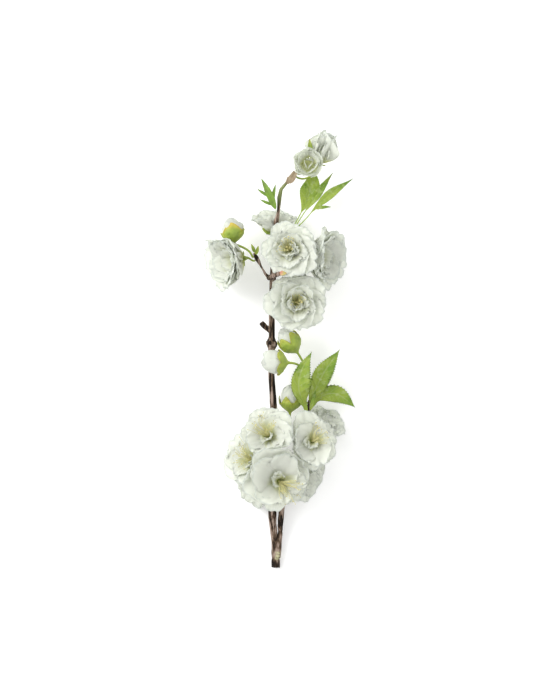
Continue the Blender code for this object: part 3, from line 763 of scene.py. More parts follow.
def outer_layers(shapes, blossom, rng, lean=None):
    """Five broad petals laid nearly flat, five more between them, and four more in a full blossom."""
    low, high = (blossom.opening + slope for slope in OUTER_SLOPES)
    full = lean is None and blossom.name in DOUBLES
    high += FULL_RISE if full else 0
    for row in FLAT_ROUNDS:
        whorl(shapes, blossom, row, (low, high), rng, lean)
    if full:
        whorl(shapes, blossom, THIRD_ROUND, (low, high), rng)


def inner_layers(shapes, blossom, rng, lean=None, cupped=0.0):
    """A cup of five petals, with more in a full blossom, and a few folded ones away from any stamens."""
    low, high = (blossom.opening + slope for slope in INNER_SLOPES)
    slopes = (low + cupped, high + 2 * cupped)
    whorl(shapes, blossom, CUPPED_ROUND, slopes, rng, lean)
    if lean is None and cupped > 0:
        whorl(shapes, blossom, FILLING_ROUND, slopes, rng)
    if lean is None or cupped > 0:
        whorl(shapes, blossom, MIDDLE_ROUND, slopes, rng, lean)
    if lean is None:
        return
    facing = blossom.facing
    away = math.atan2(-(lean @ facing.up), -(lean @ facing.right))
    for k, (turn, share, fold, slopes) in enumerate(FOLDED_PETALS):
        length = blossom.length * share
        size = (length, 0.40 * length, slopes)
        floor = 2.4 + 0.3 * k
        petal = Petal(*size, away + turn, floor, ruffle=0.9, cup=0.03, twist=6.0, fold=fold)
        add_petal(shapes, petal, blossom, 2.6, rng)


def half_open_layers(shapes, blossom, rng, hub, share, slopes):
    """A cup of rounded petals that have not opened out, and an upright round closing over its middle."""
    for row, nearer in zip(HALF_OPEN_ROUNDS, (1.0, 0.8)):
        whorl(shapes, blossom, row, slopes, rng, scale=share, hub=nearer * hub)
    row, steep = UPRIGHT_MIDDLE if slopes[0] > 60 else SPREAD_MIDDLE
    whorl(shapes, blossom, row, steep, rng, scale=share, hub=0.5 * hub)


# ---------------------------------------------------------------- stamens

GOLDEN_TURN = math.pi * (3 - math.sqrt(5))
HAIR_POINTS = 9
HAIR_SIDES = 6
ANTHER_SHAPE = (0.75, 0.75, 1.35)
TUFT_RISE_MM = 4.5  # how far above the calyx a tuft starts


def stamen_tree(filament, anther):
    """Geometry nodes for a tuft of bent filaments with an anther on each, made facing +Z in millimetres."""
    group = bpy.data.node_groups.new("stamen_tuft", "GeometryNodeTree")
    group.interface.new_socket("Geometry", in_out="OUTPUT", socket_type="NodeSocketGeometry")
    for label, kind, value in (
        ("Count", "Int", 16),
        ("Length", "Float", 12.0),
        ("Spread", "Float", 0.6),
        ("Curl", "Float", 0.3),
        ("Thickness", "Float", 0.3),
        ("Anther", "Float", 0.5),
        ("Seed", "Int", 0),
    ):
        socket = group.interface.new_socket(label, in_out="INPUT", socket_type="NodeSocket" + kind)
        socket.default_value = value
    tree = Wiring(group)
    node = tree.node
    inputs = group.nodes.new("NodeGroupInput").outputs
    count, length, spread, curl, thickness, anther_size, seed = (Wire(tree, s) for s in inputs[:-1])

    def chance(low, high, salt):
        """A random number for each hair, from the group's seed."""
        return node("FunctionNodeRandomValue", {2: low, 3: high, 8: seed + salt}, output=1, data_type="FLOAT")

    def turned_by(**angles):
        euler = node("ShaderNodeCombineXYZ", angles)
        return node("FunctionNodeEulerToRotation", {"Euler": euler})

    def vector(operation, values, output=0):
        return node("ShaderNodeVectorMath", values, output, operation=operation)

    def painted(geometry, material):
        return node("GeometryNodeSetMaterial", {"Geometry": geometry, "Material": material})

    foot = node("ShaderNodeCombineXYZ", {"X": chance(-0.8, 0.8, 6), "Y": chance(-0.8, 0.8, 7)})
    roots = node("GeometryNodePoints", {"Count": count, "Position": foot})
    line = node("GeometryNodeCurvePrimitiveLine", {"End": (0, 0, 1)})
    line = node("GeometryNodeResampleCurve", {"Curve": line, "Count": HAIR_POINTS})
    turn = node("GeometryNodeInputIndex") * GOLDEN_TURN
    leaning = turned_by(X=spread * chance(0.02, 1.0, 1).root(), Z=turn)
    grown = {"Points": roots, "Instance": line, "Rotation": leaning, "Scale": length * chance(0.70, 1.05, 2)}
    hairs = node("GeometryNodeRealizeInstances", {"Geometry": node("GeometryNodeInstanceOnPoints", grown)})
    place = node("GeometryNodeInputPosition")
    share = vector("LENGTH", {0: place}, output=1) / length
    gust = {"Vector": vector("SCALE", {0: place, 3: 1.3 / length}), "W": seed, "Scale": 1.2}
    gust = node("ShaderNodeTexNoise", gust, output=1, noise_dimensions="4D")
    centred = vector("SUBTRACT", {0: gust, 1: (0.5, 0.5, 0.5)})
    offset = vector("SCALE", {0: centred, 3: share * share * (curl * length)})
    hairs = node("GeometryNodeSetPosition", {"Geometry": hairs, "Offset": offset})
    ring = node("GeometryNodeCurvePrimitiveCircle", {"Resolution": HAIR_SIDES, "Radius": thickness * 0.5})
    threads = {"Curve": hairs, "Profile Curve": ring, "Scale": 1.0 - share * 0.35, "Fill Caps": True}
    threads = painted(node("GeometryNodeCurveToMesh", threads), filament)
    ends = node("GeometryNodeCurveEndpointSelection", {"Start Size": 0, "End Size": 1})
    bead = node("GeometryNodeMeshIcoSphere", {"Radius": 1.0, "Subdivisions": 2})
    bead = node("GeometryNodeTransform", {"Geometry": bead, "Scale": ANTHER_SHAPE})
    askew = turned_by(X=chance(-1.5, 1.5, 3), Y=chance(-1.5, 1.5, 4))
    size = anther_size * chance(0.75, 1.2, 5)
    beads = {"Points": hairs, "Selection": ends, "Instance": bead, "Rotation": askew, "Scale": size}
    beads = painted(node("GeometryNodeInstanceOnPoints", beads), anther)
    both = node("GeometryNodeJoinGeometry")
    for geometry in (threads, beads):
        tree.links.new(geometry.socket, both.socket.node.inputs[0])
    last = node("GeometryNodeRealizeInstances", {"Geometry": both})
    last = node("GeometryNodeSetShadeSmooth", {"Geometry": last})
    tree.links.new(last.socket, tree.nodes.new("NodeGroupOutput").inputs[0])
    return group


def tuft(name, tree, facing, sizes):
    """One tuft of stamens, put in its place."""
    holder = linked(name + "_holder", bpy.data.meshes.new(name + "_holder"))
    modifier = holder.modifiers.new("tuft", "NODES")
    modifier.node_group = tree
    for item in tree.interface.items_tree:
        if item.in_out == "INPUT" and item.name in sizes:
            modifier[item.identifier] = sizes[item.name]
    made = baked(holder, name)
    made.data.transform(facing.matrix())
    return made


# ---------------------------------------------------------------- cups and buds

ROUNDING = 2
SEPAL_MM = 0.6  # thickness
SEPAL_GRID = (22, 25)
BUD_PETAL_GRID = (22, 27)
BUD_CORE = 0.97  # how wide the bud's core is, for its skin
# How far round its bud a petal and a sepal reach to each side.
BUD_PETAL_REACH = math.radians(74)
SEPAL_REACH = math.radians(39)


def softened(name, node, material):
    """A packed node's own shape, rounded."""
    points, triangles = node_mesh(node)
    holder = mesh_object(name + "_holder", points, triangles, [material])
    rounding = holder.modifiers.new("rounding", "SUBSURF")
    rounding.levels = rounding.render_levels = ROUNDING
    return baked(holder, name)


class Bud:
    """A bud read from its packed petals: its foot, its axis and how wide it is along it."""

    def __init__(self, name):
        foot, tip = two_ends(f"bud_{name}_petals", f"bud_{name}_calyx")
        self.facing = Facing(foot, tip - foot)
        self.length = np.linalg.norm(tip - foot)
        rows = []
        for ring in rings(f"bud_{name}_petals", 1, foot):
            on = (ring - foot) @ self.facing.axis
            off = np.linalg.norm((ring - foot) - on[:, None] * self.facing.axis, axis=1)
            rows.append((on.mean(), off.mean()))
        self.profile = np.array(rows)

    def girth(self, height):
        """How wide the packed bud is, from its axis out, at heights in millimetres."""
        return np.interp(height, self.profile[:, 0], self.profile[:, 1])

    def at(self, share, turn, proud):
        """Points proud of the bud's skin, at shares of its length."""
        height = share * self.length
        girth, height, turn = np.broadcast_arrays(self.girth(height) + proud, height, turn)
        facing = self.facing
        out = placed(np.cos(turn)[..., None] * facing.right, (np.sin(turn), facing.up))
        return placed(facing.base, (height, facing.axis), (girth, out))


def bud_petals(bud, looseness, rng):
    """Broad petals wrapped round each other, the last ones with a loose rim."""
    shapes = Shapes()
    v, u = spaced(*BUD_PETAL_GRID, 0.02)
    heights = np.linspace(0.02, 0.985, 16) * bud.length
    shapes.tube(placed(bud.facing.base, (heights, bud.facing.axis)), bud.girth(heights) * BUD_CORE, sides=28)
    for k, turn in enumerate(rng.permutation(5) / 5 * FULL_TURN):
        a, b = rng.uniform(0, 6, 2)
        reach = 1.0 - 0.05 * k * rng.random() - 0.26 * np.abs(u) ** 2.0 + 0.018 * np.sin(5 * u + a)
        spread = (0.2 + 0.8 * np.sin(0.5 * math.pi * np.clip(v / 0.55, 0, 1))) * BUD_PETAL_REACH
        proud = 0.08 + 0.10 * k + 0.3 * (u + 0.4) * smoothstep(0.15, 0.8, v)
        looser = 0.6 + looseness * (k > 2) * 2.4
        loose = smoothstep(0.55, 1.0, v) * (0.35 + 0.5 * np.sin(3 * u + b)) * looser
        crease = 0.14 * np.sin(9 * u + 3 * v + a) * smoothstep(0.2, 0.6, v)
        grid = bud.at(0.99 * v * reach, turn + u * spread, np.maximum(proud + loose + crease, 0.05))
        shapes.sheet(grid, PETAL_MM, shade=3.0 * k)
    return shapes


def bud_sepals(shapes, bud, reach, point, turn, front, rng):
    """Five thick sepals pressed round a bud. The front number enlarges the ones on its upper side."""
    facing = bud.facing
    above = math.atan2(facing.up[2], facing.right[2])
    v, u = spaced(*SEPAL_GRID)
    for k in range(5):
        off = math.radians(turn) + FULL_TURN * (k + 0.5) / 5
        upper = max(0.0, math.cos(off)) ** 4
        rounded = 1 - 0.42 * np.abs(u) ** 2.4
        pointed = 1 - 0.72 * np.abs(u) ** 1.15
        height = reach * rng.uniform(0.94, 1.06) * ((1 - point) * rounded + point * pointed)
        height = height * (1 + front * upper)
        wider = 1 + 0.6 * front * upper
        spread = SEPAL_REACH * wider * (0.85 + 0.15 * np.sin(math.pi * v))
        bumps = 0.30 * np.sin(7 * u + k) * np.sin(9 * v + 2 * k)
        bumps = bumps + 0.16 * np.sin(15 * u - k) * np.sin(19 * v)
        proud = 1.6 + bumps * smoothstep(0.1, 0.4, v) + 0.3 * smoothstep(0.7, 1.0, v) + 0.15 * np.abs(u) ** 2
        kind = int(front > 0 and math.cos(off) > 0.9)
        grid = bud.at(0.01 + height * v, above + off + u * spread, proud)
        shapes.sheet(grid, SEPAL_MM, kind=kind, shade=k)


def lowered(made, bud, rim):
    """Draws a bud's moulded cup down to a share of the bud's length, so that its sepals stand clear."""
    place = read(made.data.vertices, "co") / MM - bud.facing.base
    on = place @ bud.facing.axis
    out = place - on[:, None] * bud.facing.axis
    top = rim * bud.length
    drawn = np.where(on > top, top + 0.2 * (on - top), on)
    narrower = np.where(on > top, bud.girth(drawn) / np.maximum(bud.girth(on), TINY), 1.0)
    moved(made.data, placed(bud.facing.base, (drawn, bud.facing.axis), (narrower, out)))
    return made


# ---------------------------------------------------------------- leaves

LEAF_MM = 0.32  # thickness
BLADE_COLUMNS = np.array((0.06, 0.2, 0.38, 0.56, 0.74, 0.88, 1.0))  # from the midrib out to one edge
LOBE_FOLD = 20.0
LEAF_SIDES = 6  # points in each ring of a packed leaf


class LeafLine:
    """A leaf read from its packed node: rows of its midrib, the way across it and its half width."""

    def __init__(self, name, stem):
        node = f"leaf_{name}"
        points = node_mesh(node)[0]
        foot = nearest_of(points, STEM_POINTS[stem])
        rows = []
        for ring in rings(node, LEAF_SIDES, foot):
            gaps = np.linalg.norm(ring[:, None] - ring[None], axis=2)
            a, b = np.unravel_index(np.argmax(gaps), gaps.shape)
            side = ring[b] - ring[a]
            if rows and side @ rows[-1][3:6] < 0:
                side = -side
            rows.append((*ring.mean(axis=0), *unit(side), gaps.max() / 2))
        rows = np.array(rows)
        rows[1:-1] = (rows[:-2] + 2 * rows[1:-1] + rows[2:]) / 4
        self.rows = rows
        self.length = np.linalg.norm(np.diff(self.rows[:, :3], axis=0), axis=1).sum()

    def at(self, shares):
        """Midrib points, ways across, ways up and half widths at shares of the leaf's length."""
        rows = along(self.rows, shares)
        middle, across = rows[:, :3], rows[:, 3:6]
        tangent = np.gradient(middle, axis=0)
        tangent /= np.linalg.norm(tangent, axis=1, keepdims=True)
        across = across - tangent * (across * tangent).sum(axis=1, keepdims=True)
        across /= np.linalg.norm(across, axis=1, keepdims=True)
        up = np.cross(across, tangent)
        if up[:, 2].mean() < 0:
            across, up = -across, -up
        return middle, tangent, across, up, np.maximum(rows[:, 6], 0.1)


def saw_steps(teeth):
    """Shares along a blade that catch each tooth's notch and its point."""
    steps = [(np.arange(teeth) + part) / teeth for part in (0.02, 0.4, 0.8, 0.97)]
    return np.unique(np.concatenate([[0.0, 1.0], *steps]))


def blade(shapes, middle, tangent, across, up, half, on, teeth, depth, fold, rng, lopsided=0.0, kind=0):
    """A toothed blade about its midrib, folded along it, wrinkled and quilted between its veins."""
    saw = (on * teeth) % 1.0
    saw[[0, -1]] = 1.0
    u = np.array((*(-BLADE_COLUMNS[::-1]), 0.0, *BLADE_COLUMNS))[None, :]
    margin = np.abs(u) ** 20
    notched = 1 - depth * (1 - saw)[:, None] * margin
    aside = half[:, None] * u * notched * (1 + lopsided * np.sign(u))
    phase = rng.uniform(0, 6, 3)
    lie = on[:, None]
    ripple = np.sin(lie * 13 + phase[0] + 1.5 * np.sign(u)) * np.abs(u) ** 2 * 0.12
    quilt = np.sin((lie - VEIN_SLANT * np.abs(u)) * FULL_TURN * VEIN_PAIRS)
    quilt = quilt * np.sin(math.pi * np.abs(u)) * 0.035
    wrinkle = np.sin(21 * lie + 4 * u + phase[1]) * np.sin(6 * u + 9 * lie + phase[2])
    wrinkle = wrinkle * (1 - u**4) * 0.05
    rise = math.tan(math.radians(fold)) * np.abs(aside) * (1 - 0.35 * np.abs(u))
    rise = rise + (ripple + quilt + wrinkle) * half[:, None]
    ahead = 0.5 * depth * half[:, None] * saw[:, None] * margin
    moves = (aside, across[:, None]), (rise, up[:, None]), (ahead, tangent[:, None])
    grid = placed(middle[:, None], *moves)
    shapes.sheet(grid, LEAF_MM, kind, across=(u[0] + 1) / 2)


def whole_leaf(shapes, leaf, bare, tooth, depth, fold, widen, taper, lopsided, rng):
    """The blade from where the leaf widens, and its stalk from the foot into the blade."""
    teeth = max(6, round(leaf.length * (1 - bare) / tooth))
    on = saw_steps(teeth)
    middle, tangent, across, up, half = leaf.at(bare + (1 - bare) * on)
    half = half * widen * np.sqrt(np.clip(1.02 - on**5, 0.02, 1)) * smoothstep(-0.08, taper, on)
    blade(shapes, middle, tangent, across, up, half, on, teeth, depth, fold, rng, lopsided)
    stalk = leaf.at(np.linspace(0, min(1.0, bare + 0.35), 16))[0]
    stalk[:, 2] -= 0.1
    shapes.tube(stalk, np.linspace(0.65, 0.3, 16), sides=8, kind=1)


def lobe(shapes, base, way, length, half_width, tooth, depth, bend, rng, up=UPWARDS, kind=0):
    """A narrow toothed lobe from a point, leaving it one way and turning by a few degrees as it goes."""
    up = unit(up - way * (up @ way))
    side = np.cross(way, up)
    teeth = max(3, round(length / tooth))
    on = saw_steps(teeth)
    heading = np.radians(bend) * (on - 0.3)
    ways = placed(np.cos(heading)[:, None] * way, (np.sin(heading), side))
    step = np.diff(on, prepend=0.0)[:, None] * length
    line = placed(base + np.cumsum(ways * step, axis=0), (0.06 * length * np.sin(math.pi * on), up))
    across = np.cross(ways, up)
    ups = np.tile(up, (len(on), 1))
    half = half_width * np.maximum(np.sin(math.pi * np.clip(on, 0, 1) ** 0.75) ** 0.8, 0.07)
    blade(shapes, line, ways, across, ups, half, on, teeth, depth, LOBE_FOLD, rng, kind=kind)


def lobes(shapes, base, rows, rng, kind=0):
    """Lobes without teeth, from rows of start, way, length, half width, step and bend."""
    for start, way, length, half, step, bend in rows:
        lobe(shapes, base + start, unit(way), length, half, step, 0.0, bend, rng, kind=kind)


def turned(way, up, degrees):
    """A direction swung sideways about the way up."""
    angle = math.radians(degrees)
    return unit(math.cos(angle) * way + math.sin(angle) * np.cross(way, up))


def lobed_leaf(shapes, rng):
    """The young leaf: one long lobe, with two short ones on its outer side and one on its inner side."""
    points = node_mesh("leaf_upper_lobed")[0]
    foot = nearest_of(points, STEM_POINTS["main_stem"])
    tip = points[np.argmax(np.linalg.norm(points - foot, axis=1))]
    way = unit((tip - foot) * (1, 1, 0))
    length = np.linalg.norm(tip - foot)
    foot = foot + 0.8 * UPWARDS
    for share, angle, reach, half, tooth, depth, bend in YOUNG_LOBES:
        start = foot + share * length * way
        lobe(shapes, start, turned(way, UPWARDS, angle), reach * length, half, tooth, depth, bend, rng)


# ---------------------------------------------------------------- bark

BRANCH_FOOT_MM = (1.6, 9.0, 0.5)  # from the stem's foot
STUB_FOOT_MM = (0.5, 0.5, 2.0)  # from the spur's foot
STUB_REACH_MM = (10.0, 3.2, 25.0)
STUB_BEND_MM = (-0.5, -0.4, 6.5)
PAPERY, PINK = 1, 2  # kinds of bract; the others are green
# Lobes without teeth: where each starts, its way, length and half width, the length of a step, and how many
# degrees it turns by.
TIP_BRACTS = (
    ((-5.0, -13.0, 2.8), (0.45, 1.0, 0.12), 14.5, 2.9, 6.0, 24),
    ((-6.5, -13.5, 2.0), (-0.10, 1.0, 0.25), 7.0, 1.4, 6.0, -14),
)
FORK_BRACTS = (
    ((0.0, 0.0, 0.0), (-0.30, 1.0, 0.2), 8.5, 1.5, 5.0, -18),
    ((0.8, -2.0, 0.4), (0.45, 1.0, 0.3), 9.0, 1.6, 5.0, -22),
)
STUB_BRACTS = (((-0.5, 0.5, 0.0), (1.0, -0.10, 0.22), 7.0, 2.2, 6.0, -10),)


def barked(name, node, material, voxel, knots, extra=None):
    """A stem's own shape with any extra one, made even, furrowed along it and swollen at its knots."""
    points, triangles = node_mesh(node)
    holder = mesh_object(name + "_holder", points, triangles, [material])
    if extra is not None:
        holder = joined_into(holder, extra.made(name + "_extra", material))
    even = holder.modifiers.new("even", "REMESH")
    even.mode = "VOXEL"
    even.voxel_size = voxel * MM
    even.use_smooth_shade = True
    made = baked(holder, name)
    place = read(made.data.vertices, "co") / MM
    normal = read(made.data.vertex_normals, "vector")
    lift = np.empty(len(place))
    for i, (x, y, z) in enumerate(place):
        coarse = noise.noise(Vector((0.30 * x, 0.07 * y, 0.30 * z)))
        fine = noise.noise(Vector((1.1 * x, 0.16 * y + 7, 1.1 * z)))
        lift[i] = 1.1 * coarse + 0.8 * fine - 0.5 * abs(fine)
    lift = lift * (0.42 - 0.30 * smoothstep(-60.0, 60.0, place[:, 1]))
    for across, up, swell, reach in knots:
        gap = np.hypot(place[:, 0] - across, place[:, 1] - up)
        lift += swell * np.exp(-((gap / reach) ** 2))
    moved(made.data, place + lift[:, None] * normal)
    return made


def branch_foot():
    """Where the side branch runs down into the main stem."""
    points = STEM_POINTS["side_branch"]
    low = points[points[:, 1] < points[:, 1].min() + 9]
    top = low[low[:, 1] > low[:, 1].max() - 3].mean(axis=0)
    stem = STEM_POINTS["main_stem"]
    foot = stem[stem[:, 1] < stem[:, 1].min() + 2].mean(axis=0) + BRANCH_FOOT_MM
    shapes = Shapes()
    shapes.tube(placed(top, (np.linspace(0, 1, 12), foot - top)), np.linspace(2.2, 3.2, 12), sides=18)
    return shapes


def stub_line(way):
    """Points along the ringed stub: low on the stem at 0, above the petals at 1."""
    foot = stem_end("left_spur", np.argmin)
    return foot + STUB_FOOT_MM + np.outer(way, STUB_REACH_MM) + np.outer(np.sin(math.pi * way), STUB_BEND_MM)


def ringed_stub():
    """The stub that stands off the spur's foot, up between the two blossoms beside it."""
    shapes = Shapes()
    shapes.tube(stub_line(np.linspace(0, 1, 31)), 2.0 + 0.38 * np.sin(np.linspace(0, 40, 31)), sides=16)
    return shapes


def tip_bracts():
    """The two papery bracts on the stem's thin end, one against it and one lifting off."""
    shapes = Shapes()
    lobes(shapes, stem_end("main_stem", np.argmax), TIP_BRACTS, np.random.default_rng(8), PAPERY)
    return shapes


def spur_bracts():
    """The small green bracts where the spur forks, and the pink one at the end of the stub."""
    shapes = Shapes()
    rng = np.random.default_rng(5)
    lobes(shapes, stem_end("left_spur", np.argmax), FORK_BRACTS, rng)
    lobes(shapes, stub_line(1.0)[0], STUB_BRACTS, rng, PINK)
    return shapes


# ---------------------------------------------------------------- settings


def tint(name, description, default):
    span = {"min": 0.0, "max": 1.0}
    return FloatVectorProperty(name=name, description=description, default=default, subtype="COLOR", **span)


def number(name, description, default, least=0.0, most=100.0):
    return FloatProperty(name=name, description=description, default=default, min=least, max=most)


class SprigPetalSettings(bpy.types.PropertyGroup):
    """Petals of the open blossoms and the buds."""

    colour: tint("Petal colour", "Lit face of the petal fabric", (0.910, 0.922, 0.872))
    shade_colour: tint("Petal shade", "Cooler patches of the petal fabric", (0.84, 0.86, 0.792))
    # Painted shade: the grey laid along each petal's rim.
    painted_rim_shade: tint("Painted rim shade", "Painted grey shade along the rims", (0.62, 0.67, 0.64))
    claw_colour: tint("Claw colour", "Green-yellow foot of each petal", (0.68, 0.71, 0.27))
    translucency: number("Translucency", "Share of light that comes through a petal", 0.55, most=1.0)
    seed: IntProperty(name="Seed", description="Which set of ruffles the petals have", default=11, min=0)


class SprigStamenSettings(bpy.types.PropertyGroup):
    """Stamens of the open blossoms."""

    thickness: number("Filament thickness", "Across one filament, in millimetres", 0.44, 0.05, 2.0)
    anther: number("Anther size", "Half the width of one anther, in millimetres", 0.55, 0.1, 3.0)
    filament_colour: tint("Filament colour", "Pale thread of a stamen", (0.64, 0.61, 0.30))
    anther_colour: tint("Anther colour", "Bead at the end of a stamen", (0.58, 0.50, 0.17))


class SprigCupSettings(bpy.types.PropertyGroup):
    """Cups, sepals and flower stalks."""

    colour: tint("Cup colour", "Lime green of the cups", (0.33, 0.41, 0.055))
    deep_colour: tint("Cup shade", "Deeper green of the cups", (0.20, 0.28, 0.04))
    warm_colour: tint("Warm patches", "Orange-yellow patches on the cups", (0.55, 0.40, 0.06))


class SprigLeafSettings(bpy.types.PropertyGroup):
    """Leaves."""

    colour: tint("Leaf colour", "Middle of a leaf", (0.175, 0.31, 0.028))
    base_colour: tint("Leaf foot colour", "Paler green at a leaf's foot", (0.37, 0.47, 0.075))
    tip_colour: tint("Leaf tip colour", "Dark green at a leaf's tip", (0.085, 0.21, 0.022))
    vein_colour: tint("Vein colour", "Printed veins", (0.52, 0.60, 0.28))
    young_colour: tint("Young leaf colour", "Cooler green of the lobed young leaf", (0.125, 0.195, 0.038))
    tooth: number("Tooth length", "Along the edge from tooth to tooth, in millimetres", 2.3, 0.5, 10.0)


class SprigBarkSettings(bpy.types.PropertyGroup):
    """Stem, side branch, spur and bracts."""

    colour: tint("Bark colour", "Middle brown of the bark", (0.075, 0.048, 0.029))
    furrow_colour: tint("Furrow colour", "Black-brown in the furrows", (0.008, 0.005, 0.003))
    streak_colour: tint("Streak colour", "Brown-grey streaks", (0.150, 0.103, 0.072))
    pale_colour: tint("Pale streak colour", "Grey-pink streaks", (0.30, 0.23, 0.19))
    worn_colour: tint("Worn ring colour", "Greenish white where the foot is worn", (0.52, 0.53, 0.30))
    bract_colour: tint("Bract colour", "Papery pink-brown of the bracts", (0.25, 0.18, 0.11))
    pale_bract_colour: tint("Pale bract colour", "Paler patches of the bracts", (0.36, 0.29, 0.19))
    pink_colour: tint("Pink bract colour", "Pink of the stub's bract", (0.52, 0.20, 0.17))
    olive_colour: tint("Olive bract colour", "Green patches of the stub's bract", (0.42, 0.40, 0.12))
    twig_colour: tint("Twig colour", "Green of the young twig", (0.26, 0.32, 0.12))
    voxel: number("Detail size", "Size of the finest bark detail, in millimetres", 0.52, 0.2, 2.0)


class SprigStageSettings(bpy.types.PropertyGroup):
    """Surface, lights and camera."""

    floor_colour: tint("Surface colour", "Pale surface that the sprig lies on", (0.93, 0.93, 0.93))
    floor_glow: number("Surface glow", "Light that the surface gives off from below", 0.16, most=2.0)
    key_power: number("Key light", "Power of the large soft light, in watts", 28.0, most=1000.0)
    sky: number("Sky light", "Strength of the even light all round", 0.98)


# ---------------------------------------------------------------- tables of the sprig's own pieces

# Each double blossom: how its stamens lean (across, up the sprig, off the surface), their length and number,
# and how much more its middle is cupped than laid open. A full blossom hides its stamens.
DOUBLES = {
    "lower_front": ((0.75, -0.65, 0.60), 24.0, 34, 0.0),
    "lower_upper": ((-0.35, 0.90, 0.55), 20.0, 26, 0.0),
    "lower_left": ((-0.85, 0.50, 0.60), 19.0, 24, 0.0),
    "lower_right": ((0.60, 0.60, 0.60), 18.0, 22, 0.0),
    "upper_front": ((-0.35, 0.25, 0.85), 15.0, 26, 8.0),
    "upper_lower": ((0.25, 0.10, 0.95), 12.0, 20, 12.0),
    "upper_right": (None, 0.0, 0, 4.0),
    "left": (None, 0.0, 0, 4.0),
}
SINGLES = ("lower_far_right", "lower_under_right", "lower_under_left", "upper_back")
# Each half-open blossom: how far out its petals start, their length for its size, and their slopes.
HALF_OPEN = {"near": (5.0, 0.88, (26.0, 92.0)), "far": (2.2, 0.98, (78.0, 90.0))}
# How large each blossom's petals are for its packed size, and how much larger on its right and upper sides.
SPREAD = {
    "lower_front": (0.95, -0.12, 0.20),
    "lower_upper": (0.97, 0.06, 0.00),
    "lower_left": (1.00, -0.04, -0.02),
    "lower_right": (0.95, -0.16, -0.06),
    "upper_front": (0.88, 0.06, -0.08),
    "upper_lower": (0.93, -0.06, 0.08),
    "left": (0.97, 0.00, 0.00),
    "lower_far_right": (0.92, 0.00, 0.00),
    "lower_under_right": (0.95, 0.00, 0.10),
    "upper_back": (1.10, 0.00, 0.00),
}
# Other draws for the ruffles of a blossom's outer and inner petals.
DRAW_SHIFTS = {"left": (388, 196)}
# The round green middle of the near half-open blossom: radii at heights above its calyx.
HEART_HEIGHTS = (3.0, 2.8, 2.2, 1.4, 0.8)
HEART_RADII = (2.2, 4.6, 5.8, 5.0, 3.4)
# Long sepals that show past the petals, as lobes from the blossom's foot.
LONG_SEPALS = {
    "half_open_far": (((-6.0, 3.0, 8.0), (-0.18, 1.0, 0.30), 19.0, 2.6, 4.0, 12),),
    "blossom_upper_back": (
        ((-1.5, 1.0, 4.0), (-1.0, 0.30, 0.1), 9.5, 3.0, 4.0, 12),
        ((-1.0, 3.0, 4.0), (-0.8, 0.75, 0.1), 8.0, 2.4, 4.0, 12),
    ),
}
# Each bud: how far up it its sepals reach, how pointed they are, how loose its petals are, how far its sepals
# are turned round it, and how much longer the ones on its upper side are.
BUDS = {
    "main_side": (0.31, 0.10, 1.8, 0.0, 0.0),
    "leaf_side": (0.66, 0.10, 0.3, 0.0, 0.0),
    "lower": (0.54, 0.80, 0.5, 14.0, 0.0),
    "left": (0.42, 0.10, 0.9, 36.0, 0.9),
}
# Each toothed leaf: the stem it grows from, how much of its length is stalk, how deep its teeth are, its
# fold in degrees, how much wider it is than its packed solid, how much of the blade it takes to widen, and
# how much wider its one half is.
LEAVES = {
    "upper_broad": ("main_stem", 0.44, 0.03, 16.0, 1.15, 0.50, 0.0),
    "upper_narrow": ("main_stem", 0.50, 0.04, 24.0, 1.0, 0.50, 0.0),
    "upper_long": ("main_stem", 0.40, 0.04, 20.0, 1.1, 0.60, 0.0),
    "middle_left": ("side_branch", 0.06, 0.34, 16.0, 1.20, 0.10, 0.25),
    "middle_right": ("side_branch", 0.04, 0.34, 14.0, 1.30, 0.06, 0.0),
    "middle_drooping": ("side_branch", 0.05, 0.34, 20.0, 1.35, 0.05, 0.0),
}
# Green blades clasping the stalks, as lobes from the leaf's foot.
STALK_BLADES = {
    "middle_left": (((0.0, -5.0, 2.5), (-0.22, 1.0, 0.1), 20.0, 2.0, 6.0, 0),),
    "middle_right": (((0.0, -5.0, 2.5), (0.26, 1.0, 0.1), 19.0, 1.8, 6.0, 0),),
}
# Side lobes: where on the leaf each leaves the midrib, its angle, length and half width.
SIDE_LOBES = {"upper_long": ((0.50, 38, 15.0, 1.6),), "upper_broad": ((0.66, -34, 12.0, 1.3),)}
# Lobes of the young leaf: where on it each starts, its angle, its length as a share of the leaf's, its half
# width, the length and depth of its teeth, and how many degrees it turns by.
YOUNG_LOBES = (
    (0.0, 3, 1.0, 3.4, 5.0, 0.12, -8),
    (0.42, -34, 0.42, 1.5, 4.0, 0.10, 10),
    (0.14, -44, 0.44, 1.4, 4.0, 0.10, 10),
    (0.22, 34, 0.55, 1.7, 4.0, 0.10, 10),
)
# Swellings of a stem: across, up the sprig, how far they stand out and how wide they are.
KNOTS = {
    "main_stem": (
        (-12.0, 6.5, 1.5, 3.2),
        (-4.5, 4.5, 1.6, 3.4),
        (-9.0, 118.0, 0.7, 2.5),
        (-8.0, -150.0, 0.6, 6.0),
    ),
}
STEM_EXTRAS = {"side_branch": branch_foot, "left_spur": ringed_stub}
STEM_BRACTS = {"main_stem": tip_bracts, "left_spur": spur_bracts}


# ---------------------------------------------------------------- the sprig's own pieces


def settings_of(name):
    return getattr(bpy.context.scene, "sprig_" + name)


def draws(settings, *words, shift=0):
    """A fixed stream of random numbers for one piece, from its seed and its words. A shift picks another."""
    sums = [sum(map(ord, word)) for word in words]
    sums[-1] += shift
    return np.random.default_rng([settings.seed, *sums])


def all_blossoms():
    """Every open and half-open blossom by its name, each kept to its own space."""
    blossoms = [double_blossom(name) for name in DOUBLES]
    blossoms += [Blossom(name, f"blossom_{name}") for name in SINGLES]
    blossoms += [Blossom(name, f"half_open_{name}") for name in HALF_OPEN]
    keep_apart(blossoms, [Bud(name) for name in BUDS])
    return {blossom.name: blossom for blossom in blossoms}


